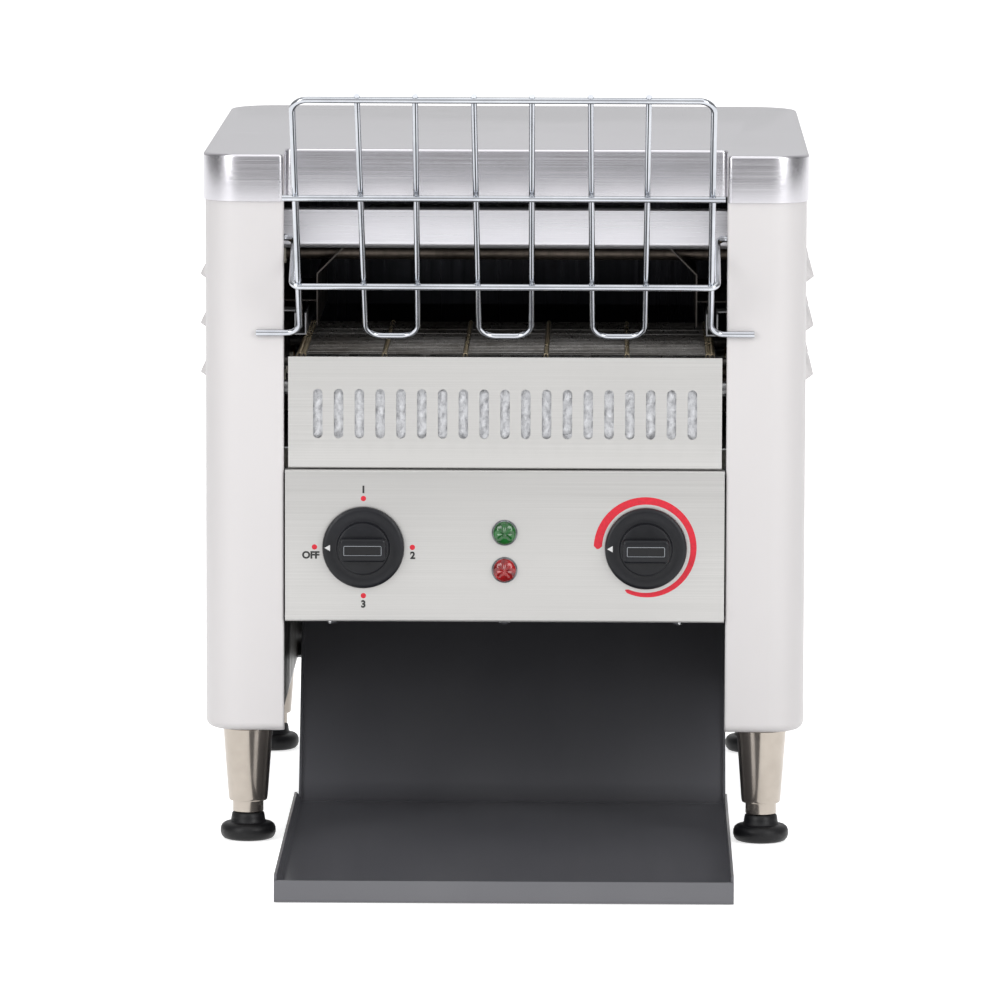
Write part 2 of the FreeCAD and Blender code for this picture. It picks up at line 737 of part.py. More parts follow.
def inner_wall(label, side):
    """Upright wall with outward flanges that carries shafts, elements and covers."""
    body = new_body(label)
    front = s.panel_sheet + s.loose_fit
    rear = back_inner - s.panel_sheet - s.loose_fit
    low, high = ordered(wall_inner * side, wall_outer * side)
    outline = [(front, base_high + s.bottom_edge), (front + s.bottom_edge, base_high),
               (rear, base_high), (rear, cover_under), (front, cover_under)]
    pad(body, "YZ", [outline], low, high)
    flange = (wall_outer + s.wall_flange) * side
    start = s.hem_depth + s.loose_fit
    for level in (base_high, cover_under - s.wall_sheet):
        pad(body, "XY", [rectangle(*ordered(wall_inner * side, flange), start + s.front_corner, rear)],
            level, level + s.wall_sheet)
    cross_holes(body, side)
    return node(label, body)


def base_plate():
    """Chassis plate under both side bays, joined by a cross strip at the back."""
    body = new_body("base_plate")
    margin = s.bottom_edge
    edge = panel_face - margin
    front = margin + s.loose_fit
    rear = s.body_depth - margin
    inner = wall_inner
    strip = rear - s.rear_strip
    outline = [(-edge, front), (-inner, front), (-inner, strip), (inner, strip),
               (inner, front), (edge, front), (edge, rear), (-edge, rear)]
    pad(body, "XY", [outline], base_low, base_high)
    for side in (-1, 1):
        rounded(body, s.front_corner - margin, upright_at(edge * side, front))
        rounded(body, s.rear_corner - margin + s.loose_fit, upright_at(edge * side, rear))
    studs = [(leg_side * side, y, s.stud_radius + s.loose_fit)
             for side in (-1, 1) for y in (s.leg_inset, s.body_depth - s.leg_inset)]
    pocket(body, "XY", studs, base_low - 1, base_high + 1)
    return node("base_plate", body)


def rear_cover():
    """Back plate behind the side panels' rear flanges, open at the fan and the gland."""
    body = new_body("rear_cover")
    inner = panel_face - s.rear_wrap
    lap = inner + s.panel_flange
    step = base_high + s.bottom_edge / 2
    top = cover_under - s.loose_fit
    outline = [(-lap, step), (-inner + 1, step), (-inner + 1, base_high), (inner - 1, base_high),
               (inner - 1, step), (lap, step), (lap, top), (-lap, top)]
    pad(body, "XZ", [outline], back_inner - s.panel_sheet, back_inner)
    low = back_inner - s.panel_sheet - 1
    high = back_inner + 1
    pocket(body, "XZ", [(-s.fan_centre, s.fan_level, s.fan_bore),
                        (s.gland_centre, s.gland_level, s.gland_radius - 3)], low, high)
    return node("rear_cover", body)


def cover_screws():
    """Heads and shanks that hold the rear cover and the side panels' rear flanges."""
    items = []
    across = panel_face - s.rear_wrap + s.panel_flange / 2
    for side_name, side in SIDES:
        for count, level in enumerate((100.0, 200.0, 300.0)):
            name = f"rear_screw_{side_name}{count}"
            head = rod(name + "_head", s.screw_radius, "Y", s.body_depth,
                       s.body_depth + s.screw_head, across * side, level)
            items.append(head)
    return node("rear_cover_screws", group("rear_cover_screws", items))


# Legs and feet

def legs():
    """Four turned legs, each with a bore for its levelling screw."""
    body = new_body("leg")
    bore = s.stud_radius + s.thread_fit
    neck_foot = s.foot_hub + s.loose_fit
    shoulder = neck_foot + s.neck_height
    bore_top = s.foot_hub + s.foot_screw + 2
    outline = [(bore, neck_foot), (s.leg_neck, neck_foot), (s.leg_neck, shoulder),
               (s.leg_tip, shoulder), (s.leg_radius, s.floor_level),
               (s.leg_boss, s.floor_level), (s.leg_boss, base_low),
               (s.stud_radius, base_low), (s.stud_radius, base_high + 9), (0, base_high + 9),
               (0, bore_top), (bore, bore_top)]
    revolve(body, outline)
    place(body, -leg_side, s.leg_inset)
    rear = mirrored("leg_rear", body, (0, 1, 0), (0, s.body_depth / 2, 0))
    across = [mirrored(f"{item.Name}_right", item, (1, 0, 0)) for item in (body, rear)]
    return node("legs", group("legs", [body, rear] + across))


def leg_nuts():
    """Nuts on the legs' studs above the base plate."""
    items = []
    for side_name, side in SIDES:
        for end, y in (("front", s.leg_inset), ("rear", s.body_depth - s.leg_inset)):
            name = f"nut_{end}_{side_name}"
            prism = doc.addObject("Part::Prism", name + "_blank")
            prism.Polygon = 6
            bind(prism, Circumradius=s.stud_radius * 1.8, Height=s.stud_radius * 1.2)
            place(prism, leg_side * side, y, base_high)
            bore = rod(name + "_bore", s.stud_radius, "Z", base_high - 1, base_high + 20,
                       leg_side * side, y)
            items.append(cut(name, prism, [bore]))
    return node("leg_nuts", group("leg_nuts", items))


def levelling_foot(label, x, y):
    """Rubber foot moulded on its levelling screw."""
    body = new_body(label + "_turned")
    rim = 2.5
    outline = [(0, 0), (s.foot_radius - rim, 0), (s.foot_radius, rim),
               (s.foot_radius, s.foot_disc - rim), (s.foot_radius - rim, s.foot_disc),
               (s.hub_radius, s.foot_disc), (s.hub_radius, s.foot_hub),
               (s.stud_radius, s.foot_hub), (s.stud_radius, s.foot_hub + s.foot_screw),
               (0, s.foot_hub + s.foot_screw)]
    revolve(body, outline)
    place(body, x, y)
    return node(label, group(label, [body]))


# Belt and its drive

def conveyor_belt():
    """Endless wire belt: cross wires round both shafts, tied by rows of wire loops."""
    bend = float(s.belt_bend)
    wire = float(s.belt_wire) / 2
    half = float(belt_half)
    y0 = float(s.belt_front)
    y1 = y0 + float(s.belt_length)
    z0 = float(belt_axis)
    axis = FreeCAD.Vector(1, 0, 0)

    def band(radius, x, width):
        corners = [vector(x, y0, z0 + radius), vector(x, y1, z0 + radius),
                   vector(x, y1, z0 - radius), vector(x, y0, z0 - radius)]
        edges = [Part.LineSegment(corners[0], corners[1]).toShape(),
                 Part.Arc(corners[1], vector(x, y1 + radius, z0), corners[2]).toShape(),
                 Part.LineSegment(corners[2], corners[3]).toShape(),
                 Part.Arc(corners[3], vector(x, y0 - radius, z0), corners[0]).toShape()]
        return Part.Face(Part.Wire(edges)).extrude(axis * width)

    width = float(s.link_width)
    space = (2 * half - 2 * width) / float(s.belt_spaces)
    places = [-half, half] + [-half + width + space * n for n in range(int(float(s.belt_spaces)) + 1)]
    solids = []
    for x in places:
        outside = band(bend + wire * 0.8, x - width / 2, width)
        solids.append(outside.cut(band(bend - wire * 0.8, x - width / 2 - 1, width + 2)))
    rods = int(float(s.belt_rods))
    pitch = float(s.belt_length) / rods
    turn_rods = max(3, round(math.pi * bend / pitch))
    spots = []
    for count in range(rods):
        spots.append((y0 + pitch * (count + 0.5), z0 + bend))
        spots.append((y0 + pitch * (count + 0.5), z0 - bend))
    for count in range(turn_rods):
        angle = math.pi * (count + 0.5) / turn_rods
        spots.append((y1 + bend * math.sin(angle), z0 + bend * math.cos(angle)))
        spots.append((y0 - bend * math.sin(angle), z0 - bend * math.cos(angle)))
    for y, z in spots:
        solids.append(Part.makeCylinder(wire, 2 * half + width, vector(-half - width / 2, y, z), axis))
    belt = solids[0].multiFuse(solids[1:])
    return node("conveyor_belt", shaped("conveyor_belt", belt))


def shafts():
    """Idler and drive shafts across the machine."""
    idler_end = wall_outer + s.bush_length
    node("idler_shaft", group("idler_shaft", [
        rod("idler_bar", s.shaft_radius, "X", -idler_end, idler_end, s.belt_front, belt_axis)]))
    node("drive_shaft", group("drive_shaft", [
        rod("drive_bar", s.shaft_radius, "X", -idler_end, chain_plane + s.chain_width,
            drive_back, belt_axis)]))


def wheel_places():
    """Middle of each space across the belt."""
    half = belt_half - s.link_width
    count = int(float(s.belt_spaces))
    return [-half + half * 2 / s.belt_spaces * (index + 0.5) for index in range(count)]


def toothed_disc(root, tip, teeth, width, tooth_share=0.45):
    """Outline-built sprocket blank about X: a root circle with short straight teeth."""
    blank = Part.makeCylinder(root, width, FreeCAD.Vector(), FreeCAD.Vector(1, 0, 0))
    breadth = 2 * math.pi * root / teeth * tooth_share
    reach = math.sqrt(tip * tip - breadth * breadth / 4)
    tooth = Part.makeBox(width, breadth, reach, FreeCAD.Vector(0, -breadth / 2, 0))
    ring_of_teeth = []
    for count in range(teeth):
        copy = tooth.copy()
        copy.rotate(FreeCAD.Vector(), FreeCAD.Vector(1, 0, 0), 360 * count / teeth)
        ring_of_teeth.append(copy)
    return blank.multiFuse(ring_of_teeth).removeSplitter()


def belt_sprockets():
    """Toothed wheels on the drive shaft, one in each space of the belt."""
    tip = float(s.belt_bend - s.belt_wire / 2 - s.wheel_gap)
    width = float(s.wheel_width)
    disc = toothed_disc(float(s.wheel_root), tip, int(float(s.wheel_teeth)), width)
    bore = Part.makeCylinder(float(s.shaft_radius), width + 2, vector(-1, 0, 0), vector(1, 0, 0))
    disc = disc.cut(bore)
    copies = []
    for x in wheel_places():
        copy = disc.copy()
        copy.translate(vector(x - width / 2, drive_back, belt_axis))
        copies.append(copy)
    return node("drive_sprockets", shaped("drive_sprockets", Part.makeCompound(copies)))


def idler_rollers():
    """Plain rollers on the idler shaft."""
    radius = s.belt_bend - s.belt_wire / 2 - s.wheel_gap
    items = [ring(f"idler_roller{count}", radius, s.shaft_radius, "X",
                  x - s.wheel_width / 2, x + s.wheel_width / 2, s.belt_front, belt_axis)
             for count, x in enumerate(wheel_places())]
    return node("idler_rollers", group("idler_rollers", items))


def shaft_bushes():
    """Flanged bushes in the inner walls for both shafts."""
    items = []
    for side_name, side in SIDES:
        for end, y in (("front", s.belt_front), ("rear", drive_back)):
            name = f"bush_{end}_{side_name}"
            sleeve = rod(name + "_sleeve", s.bush_radius, "X",
                         *ordered(wall_inner * side, (wall_outer + s.bush_length - 1) * side),
                         y, belt_axis)
            flange = rod(name + "_flange", s.bush_flange, "X",
                         *ordered((wall_inner - 2) * side, wall_inner * side), y, belt_axis)
            bore = rod(name + "_bore", s.shaft_radius + s.shaft_fit, "X",
                       *ordered((wall_inner - 3) * side, (wall_outer + s.bush_length + 1) * side),
                       y, belt_axis)
            items.append(cut(name, fuse(name + "_blank", [sleeve, flange]), [bore]))
    return node("shaft_bushes", group("shaft_bushes", items))


def belt_rails():
    """Rails under the upper run of the belt, carried by two cross bars."""
    under = s.belt_level - s.belt_wire - s.loose_fit
    bar = 3.0
    start = s.belt_front + s.belt_bend + 4
    stop = drive_back - s.belt_bend - 4
    items = [rod(f"rail_bar{count}", bar, "X", -wall_inner, wall_inner, y, under - 5 - bar + 1)
             for count, y in enumerate((start + 8, stop - 8))]
    for count, x in enumerate(wheel_places()):
        if count % 2:
            items.append(box(f"rail{count}", (x - 2, x + 2), (start, stop), (under - 6, under)))
    return node("belt_rails", fuse("belt_rails", items))


def belt_guides():
    """Upright channels over both edges of the belt, each on two tabs from the wall."""
    items = []
    skin = s.liner_sheet
    foot = s.guide_foot
    top = foot + s.guide_height
    start = s.guide_front
    stop = drive_back - 4
    for side_name, side in SIDES:
        low, high = ordered(guide_inner * side, (guide_inner + s.guide_width) * side)
        body = new_body(f"guide_{side_name}")
        pad(body, "XZ", [rectangle(low, high, foot, top)], start, stop)
        pocket(body, "XZ", [rectangle(low + skin, high - skin, foot + skin, top + 1)],
               start - 1, stop + 1)
        outer = (guide_inner + s.guide_width - skin / 2) * side
        tabs = [rectangle(*ordered(outer, (wall_inner - s.loose_fit) * side), y, y + s.guide_tab)
                for y in (start + s.guide_tab, stop - s.guide_tab * 2)]
        pad(body, "XY", tabs, top - skin, top)
        items.append(body)
    return node("belt_guides", group("belt_guides", items))


def gear_motor():
    """Gear motor in the control box, flanged to the right inner wall."""
    half = s.gearbox_side / 2
    stop = wall_inner
    start = stop - s.gearbox_length
    gearbox = box("gearbox", (start, stop), (s.motor_back - half, s.motor_back + half),
                  (s.motor_level - half, s.motor_level + half))
    can = rod("motor_can", s.motor_radius, "X", start - s.motor_length, start,
              s.motor_back, s.motor_level)
    bore = rod("motor_bore", s.motor_shaft + s.shaft_fit, "X", start + 4, stop + 1,
               s.motor_back, s.motor_level)
    return node("gear_motor", cut("gear_motor", fuse("gear_motor_blank", [gearbox, can]), [bore]))


def motor_sprocket():
    """Small chain wheel on the motor's output shaft."""
    start = wall_inner - s.gearbox_length + 6
    shaft = rod("motor_output", s.motor_shaft, "X", start, chain_plane + s.chain_width,
                s.motor_back, s.motor_level)
    disc = chain_wheel(int(float(s.motor_teeth)))
    disc.translate(vector(0, s.motor_back, s.motor_level))
    return node("motor_sprocket", fuse("motor_sprocket", [shaft, shaped("motor_wheel", disc)]))


def pitch_radius(teeth):
    """Pitch radius of a chain wheel."""
    return float(s.chain_pitch) / (2 * math.sin(math.pi / teeth))


def chain_wheel(teeth):
    """Chain wheel inside the chain's rollers, with teeth shortened to clear them."""
    gap = 0.35
    tip = pitch_radius(teeth) - float(s.chain_roller) / 2 - gap
    width = float(s.chain_width) - 2 * float(s.chain_plate) - 2 * gap
    disc = toothed_disc(tip - 1.2, tip, teeth, width)
    disc.translate(vector(float(chain_plane) - width / 2, 0, 0))
    return disc


def shaft_sprocket():
    """Large chain wheel on the drive shaft."""
    disc = chain_wheel(int(float(s.shaft_teeth)))
    bore = Part.makeCylinder(float(s.shaft_radius), 20,
                             vector(chain_plane - 10, 0, 0), FreeCAD.Vector(1, 0, 0))
    disc = disc.cut(bore)
    disc.translate(vector(0, drive_back, belt_axis))
    return node("shaft_sprocket", shaped("shaft_sprocket", disc))


def drive_chain():
    """Roller chain round both chain wheels: two plate bands and their rollers."""
    small = pitch_radius(int(float(s.motor_teeth)))
    large = pitch_radius(int(float(s.shaft_teeth)))
    near_end = FreeCAD.Vector(0, float(s.motor_back), float(s.motor_level))
    far_end = vector(0, drive_back, belt_axis)
    line = far_end - near_end
    span = line.Length
    heading = math.atan2(line.z, line.y)
    lean = math.acos((small - large) / span)
    axis = FreeCAD.Vector(1, 0, 0)

    def around(centre, radius, angle):
        return centre + FreeCAD.Vector(0, radius * math.cos(angle), radius * math.sin(angle))

    def loop(offset):
        first, second = small + offset, large + offset
        top, bottom = heading + lean, heading - lean
        edges = [Part.LineSegment(around(near_end, first, top), around(far_end, second, top)).toShape(),
                 Part.Arc(around(far_end, second, top), around(far_end, second, heading),
                          around(far_end, second, bottom)).toShape(),
                 Part.LineSegment(around(far_end, second, bottom),
                                  around(near_end, first, bottom)).toShape(),
                 Part.Arc(around(near_end, first, bottom),
                          around(near_end, first, heading + math.pi),
                          around(near_end, first, top)).toShape()]
        return Part.Wire(edges)

    def band(low, high):
        face = Part.Face(loop(plate_half)).cut(Part.Face(loop(-plate_half)))
        solid = face.Faces[0].extrude(axis * (high - low))
        solid.translate(axis * low)
        return solid

    plate_half = 2.6
    half = float(s.chain_width) / 2
    plate = float(s.chain_plate)
    middle = float(chain_plane)
    solids = [band(middle - half, middle - half + plate), band(middle + half - plate, middle + half)]
    centres = loop(0)
    links = max(8, round(centres.Length / float(s.chain_pitch)))
    for spot in centres.discretize(links + 1)[:-1]:
        solids.append(Part.makeCylinder(float(s.chain_roller) / 2, 2 * half,
                                        spot + axis * (middle - half), axis))
    chain = solids[0].multiFuse(solids[1:])
    return node("drive_chain", shaped("drive_chain", chain))


# Heating

def heater_rows():
    """Level and place behind the pillars of every element."""
    count = int(float(s.heater_count))
    return [(name, level, s.belt_front + s.heater_front + heater_step * index)
            for name, level in (("upper", s.upper_level), ("lower", s.lower_level))
            for index in range(count)]


def heating_elements():
    """Tubular elements above and below the upper run of the belt."""
    reach = wall_outer + s.insulator_length + 6
    for kind in ("upper", "lower"):
        items = [rod(f"{kind}_element{count}", s.heater_radius, "X", -reach, reach, y, level)
                 for count, (name, level, y) in enumerate(heater_rows()) if name == kind]
        node(f"{kind}_heating_elements", group(f"{kind}_heating_elements", items))


def element_insulators():
    """Ceramic collars that carry the elements in the inner walls."""
    items = []
    for side_name, side in SIDES:
        for count, (kind, level, y) in enumerate(heater_rows()):
            items.append(ring(f"insulator_{kind}{count}_{side_name}", s.insulator_radius,
                              s.heater_radius, "X",
                              *ordered((wall_inner - 2) * side,
                                       (wall_outer + s.insulator_length) * side), y, level))
    return node("element_insulators", group("element_insulators", items))


def element_clearance(body, level, low, high):
    """Holes round the elements through a reflector."""
    circles = [(y, spot, s.heater_radius + 2) for _, spot, y in heater_rows()
               if float(spot) == float(level)]
    pocket(body, "YZ", circles, low, high)


def upper_reflector():
    """Reflector hood over the toasting space: upright sides, sloped corners and a roof."""
    body = new_body("upper_reflector")
    sheet_step = s.liner_sheet
    slope = s.liner_roof - s.liner_knee
    side = liner_side
    ledge = wall_inner - s.loose_fit
    slant = sheet_step * 0.4142
    right = [(side, s.liner_foot), (side, s.liner_knee), (side - slope, s.liner_roof)]
    left = [(-x, z) for x, z in reversed(right)]
    outer = [(side - slope + slant, s.liner_roof + sheet_step),
             (side + sheet_step, s.liner_knee + slant), (side + sheet_step, s.liner_foot)]
    back = [(-x, z) for x, z in reversed(outer)]
    pad(body, "XZ", [left[::-1] + right[::-1] + outer[::-1] + back[::-1]],
        s.liner_front, drive_back + 4)
    shelf = s.guide_foot + s.guide_height + 3
    for turn in (-1, 1):
        pad(body, "XZ", [rectangle(*ordered((side + sheet_step / 2) * turn, ledge * turn),
                                   shelf, shelf + sheet_step)],
            s.liner_front + s.guide_tab, drive_back + 4)
    element_clearance(body, s.upper_level, -wall_inner, wall_inner)
    return node("upper_reflector", body)


def lower_reflector():
    """Reflector under the lower elements, inside the belt."""
    body = new_body("lower_reflector")
    level = belt_axis - s.belt_bend + s.belt_wire + 2
    edge = wall_inner - s.loose_fit
    top = level + s.liner_sheet
    lip = 8.0
    pad(body, "XZ", [rectangle(-edge, edge, level, top)], s.liner_front, drive_back - 24)
    for side in (-1, 1):
        pad(body, "XZ", [rectangle(*ordered(edge * side, (edge - s.liner_sheet) * side),
                                   top, top + lip)], s.liner_front, drive_back - 24)
    return node("lower_reflector", body)


def nose_guard():
    """Curved guard above the feed opening, folded back at its top and rolled below."""
    body = new_body("nose_guard")
    edge = wall_inner - s.loose_fit
    front = s.nose_front
    rear = front + s.nose_depth
    skin = s.liner_sheet
    outline = [(front, s.nose_top), (front, s.nose_foot), (rear, s.nose_foot),
               (rear, s.nose_foot + skin), (front + skin, s.nose_foot + skin),
               (front + skin, s.nose_top - skin), (rear, s.nose_top - skin), (rear, s.nose_top)]
    pad(body, "YZ", [outline], -edge, edge)
    curve = 4.0

    def edge_at(y, z):
        return lambda b: near(b.YMin, y) and near(b.YMax, y) and near(b.ZMin, z) and near(b.ZMax, z)

    rounded(body, curve, edge_at(front, s.nose_foot))
    rounded(body, curve - s.liner_sheet, edge_at(front + skin, s.nose_foot + skin))
    return node("nose_guard", body)


def belt_pan():
    """Pan under the belt, over the control box."""
    body = new_body("belt_pan")
    level = s.slot_panel_foot + 11.3
    edge = wall_inner - s.loose_fit
    pad(body, "YZ", [rectangle(s.hem_depth + s.loose_fit, drive_back + 4, level, level + s.liner_sheet)],
        -edge, edge)
    return node("belt_pan", body)


def insulation():
    """Insulation: an upright pad behind the slots, and a blanket under the belt pan."""
    pan = s.slot_panel_foot + 11.3
    back = s.panel_setback + s.panel_sheet
    edge = slot_panel_half - s.panel_sheet - s.loose_fit
    front_pad = box("front_pad", (-edge, edge), (back, back + s.pad_thickness - 0.4),
                    (pan - 0, s.belt_level - 2.5))
    node("front_insulation", group("front_insulation", [front_pad]))
    blanket = box("blanket", (-wall_inner + 1, wall_inner - 1), (s.face_flange, s.box_depth),
                  (face_top - s.face_sheet + 1, pan))
    node("insulation_blanket", group("insulation_blanket", [blanket]))


# Front panels

def slotted_front_panel():
    """Bright front panel with a row of upright slots."""
    body = new_body("slotted_front_panel")
    half = slot_panel_half
    front = s.panel_setback
    back = front + s.panel_sheet
    pad(body, "XZ", [rectangle(-half, half, s.slot_panel_foot, s.belt_level)], front, back)
    pad(body, "XY", [rectangle(-half, half, front, s.hem_depth)],
        s.slot_panel_foot, s.slot_panel_foot + s.panel_sheet)
    for side in (-1, 1):
        pad(body, "YZ", [rectangle(front, s.hem_depth, s.slot_panel_foot,
                                   s.belt_level - s.belt_wire)],
            *ordered(half * side, (half - s.panel_sheet) * side))
    first = -s.slot_pitch * (s.slot_count - 1) / 2
    end = s.slot_width / 2
    low, high = s.slot_foot + end, s.slot_foot + s.slot_height - end
    for outline in (rectangle(first - end, first + end, low, high),
                    (first, low, end), (first, high, end)):
        slot = pocket(body, "XZ", [outline], front - 1, back + 1)
        pattern(body, slot, "X", s.slot_pitch * (s.slot_count - 1), s.slot_count)
    return node("slotted_front_panel", body)


def control_panel():
    """Folded control panel with holes for the controls, the lamps and three screws."""
    body = new_body("control_panel")
    half = face_half
    front = -s.face_proud
    back = front + s.face_sheet
    rear = front + s.face_flange
    skin = s.face_sheet
    channel = [(front, s.face_foot), (rear, s.face_foot), (rear, s.face_foot + skin),
               (back, s.face_foot + skin), (back, face_top - skin), (rear, face_top - skin),
               (rear, face_top), (front, face_top)]
    pad(body, "YZ", [channel], -half, half)
    holes = [(s.knob_side * side, s.knob_level, s.neck_radius + s.loose_fit) for side in (-1, 1)]
    holes += [(0, level, s.lens_radius + 0.1) for level in (s.power_lamp_level, s.heat_lamp_level)]
    pocket(body, "XZ", holes, front - 1, back + 1)
    return node("control_panel", body)


def control_panel_screws():
    """Round heads under the lower fold of the control panel."""
    items = []
    for count, x in enumerate((-102.4, 0.0, 102.4)):
        items.append(rod(f"panel_screw{count}", s.screw_radius, "Z",
                         s.face_foot - s.screw_head, s.face_foot, x, s.screw_radius))
    return node("control_panel_screws", group("control_panel_screws", items))


def control_box():
    """Channel between the inner walls that closes the controls off from the toast."""
    body = new_body("control_box")
    skin = s.wall_sheet
    low = s.face_foot + s.face_sheet
    high = face_top - s.face_sheet
    rear = s.box_depth
    front = s.hem_depth + s.loose_fit
    channel = [(front, low), (rear, low), (rear, high), (front, high), (front, high - skin),
               (rear - skin, high - skin), (rear - skin, low + skin), (front, low + skin)]
    pad(body, "YZ", [channel], -wall_inner + s.loose_fit, wall_inner - s.loose_fit)
    return node("control_box", body)


# Controls

def knob(label, x):
    """Round knob with a boss, a grip bar, a recess for its insert and a spindle bore."""
    body = new_body(label)
    back = -s.face_proud - s.knob_gap
    rim = back - s.knob_rim
    boss = rim - s.boss_height
    grip = boss - s.grip_height
    level = s.knob_level
    pad(body, "XZ", [(x, level, s.knob_radius)], rim, back)
    pad(body, "XZ", [(x, level, s.boss_radius)], boss, rim)
    pad(body, "XZ", [rectangle(x - s.grip_length / 2, x + s.grip_length / 2,
                               level - s.grip_width / 2, level + s.grip_width / 2)], grip, boss)
    rounded(body, 2.0, lambda b: near(b.XMin, b.XMax) and near(b.ZMin, b.ZMax)
            and near(b.YMin, grip) and near(b.YMax, boss))
    fit = 0.1
    pocket(body, "XZ", [rectangle(x - s.insert_length / 2 - fit, x + s.insert_length / 2 + fit,
                                  level - s.insert_width / 2 - fit,
                                  level + s.insert_width / 2 + fit)], grip, grip + s.insert_sink)
    pocket(body, "XZ", [(x, level, s.spindle_radius)], boss - 2, back)
    rounded(body, 1.0, lambda b: near(b.YMin, rim) and near(b.YMax, rim) and b.XLength > 40)
    node(label, body)
    plate = box(label + "_plate", (x - s.insert_length / 2, x + s.insert_length / 2),
                (grip - s.insert_proud, grip + s.insert_sink),
                (level - s.insert_width / 2, level + s.insert_width / 2))
    node(label + "_insert", group(label + "_insert", [plate]))
    spindle = rod(label + "_bar", s.spindle_radius, "Y", boss - 2, s.spindle_reach, x, level)
    node(label + "_spindle", group(label + "_spindle", [spindle]))


def selector_switch():
    """Rotary switch behind the left knob."""
    x = -s.knob_side
    half = s.switch_side / 2
    case = box("switch_case", (x - half, x + half), (face_back, face_back + s.switch_depth),
               (s.knob_level - half, s.knob_level + half))
    neck = rod("switch_neck", s.neck_radius, "Y", -s.face_proud, face_back + 1, x, s.knob_level)
    bore = rod("switch_bore", s.spindle_radius + s.shaft_fit, "Y", -s.face_proud - 1,
               s.spindle_reach + 2, x, s.knob_level)
    return node("selector_switch", cut("selector_switch", fuse("switch_blank", [case, neck]), [bore]))


def speed_control():
    """Round speed control behind the right knob."""
    x = s.knob_side
    case = rod("control_case", s.control_radius, "Y", face_back, face_back + s.control_depth,
               x, s.knob_level)
    neck = rod("control_neck", s.neck_radius, "Y", -s.face_proud, face_back + 1, x, s.knob_level)
    bore = rod("control_bore", s.spindle_radius + s.shaft_fit, "Y", -s.face_proud - 1,
               s.spindle_reach + 2, x, s.knob_level)
    return node("speed_control", cut("speed_control", fuse("control_blank", [case, neck]), [bore]))


def lamps():
    """Two indicator lamps: domed lenses, bezels and holders behind the panel."""
    bezels = []
    holders = []
    for label, level in (("power_lamp", s.power_lamp_level), ("heat_lamp", s.heat_lamp_level)):
        face = -s.face_proud
        body = new_body(label)
        straight = face - s.bezel_proud
        tip = face - s.lens_proud
        pad(body, "XZ", [(0, level, s.lens_radius)], tip, face_back)
        dome = float(s.lens_radius) * 0.45
        rounded(body, min(dome, float(s.lens_proud) * 0.8),
                lambda b: near(b.YMin, tip) and near(b.YMax, tip))
        node(label, body)
        bezels.append(ring(label + "_bezel", s.bezel_radius, s.lens_radius, "Y",
                           straight, face, 0, level))
        holders.append(rod(label + "_holder", s.lens_radius + 1.2, "Y", face_back,
                           face_back + s.holder_length, 0, level))
    node("lamp_bezels", group("lamp_bezels", bezels))
    node("lamp_holders", group("lamp_holders", holders))


# Wire rack

def rack_point(x, along, out=0):
    """A point of the rack's plane: across, up the slope from the feet, and outwards."""
    angle = math.radians(float(s.rack_angle))
    start_y = -float(s.wire_radius) - float(s.loose_fit)
    y = start_y - float(along) * math.cos(angle) - float(out) * math.sin(angle)
    z = float(s.rack_foot_level) + float(along) * math.sin(angle) - float(out) * math.cos(angle)
    return vector(x, y, z)


def loading_rack():
    """Leaning wire rack: frame wire, two cross rods and three wire loops, welded."""
    wire = float(s.wire_radius)
    grid = float(s.grid_radius)
    half = float(rack_half)
    top = float(s.rack_length)
    foot_end = float(rack_half + s.rack_foot)
    frame = bent_wire([rack_point(-foot_end, 0), rack_point(-half, 0),
                       rack_point(-half, top), rack_point(half, top), rack_point(half, 0),
                       rack_point(foot_end, 0)], float(s.rack_corner))
    bars = [tube_along(frame, wire)]
    bed = -1.0
    front = bed + wire + grid - 0.3
    reach = float(rack_half + s.middle_rod_over)
    bars.append(tube_along(Part.Wire([Part.LineSegment(rack_point(-reach, s.middle_rod, front),
                                                       rack_point(reach, s.middle_rod, front)).toShape()]),
                           wire))
    arm = float(rack_half + s.arm_over)
    low_left = rack_point(-arm, s.lower_rod, front)
    low_right = rack_point(arm, s.lower_rod, front)
    pivot_end = wall_outer + s.pivot_over
    pivot_left = vector(-arm, s.pivot_back, s.pivot_level)
    pivot_right = vector(arm, s.pivot_back, s.pivot_level)
    path = [vector(-pivot_end, s.pivot_back, s.pivot_level), pivot_left, low_left,
            low_right, pivot_right, vector(pivot_end, s.pivot_back, s.pivot_level)]
    bars.append(tube_along(bent_wire(path, float(s.arm_bend)), wire))
    count = int(float(s.loop_count))
    for index in range(count):
        centre = float(s.loop_spacing) * (index - (count - 1) / 2)
        side = float(s.loop_width) / 2
        high = top + float(s.loop_stub)
        low = -float(s.loop_drop)
        loop = bent_wire([rack_point(centre - side, high, bed), rack_point(centre - side, low, bed),
                          rack_point(centre + side, low, bed), rack_point(centre + side, high, bed)],
                         float(s.loop_bend))
        bars.append(tube_along(loop, grid))
    rack = bars[0].multiFuse(bars[1:])
    return node("loading_rack", shaped("loading_rack", rack))


def rack_bushes():
    """Small bushes in the inner walls that hold the rack's pivots."""
    items = []
    for side_name, side in SIDES:
        name = f"rack_bush_{side_name}"
        sleeve = rod(name + "_sleeve", s.wire_radius * 2, "X",
                     *ordered(wall_inner * side, (wall_outer + 1) * side),
                     s.pivot_back, s.pivot_level)
        flange = rod(name + "_flange", s.wire_radius * 3, "X",
                     *ordered(wall_outer * side, (wall_outer + 2) * side),
                     s.pivot_back, s.pivot_level)
        bore = rod(name + "_bore", s.wire_radius + s.shaft_fit, "X",
                   *ordered((wall_inner - 1) * side, (wall_outer + 4) * side),
                   s.pivot_back, s.pivot_level)
        items.append(cut(name, fuse(name + "_blank", [sleeve, flange]), [bore]))
    return node("rack_bushes", group("rack_bushes", items))


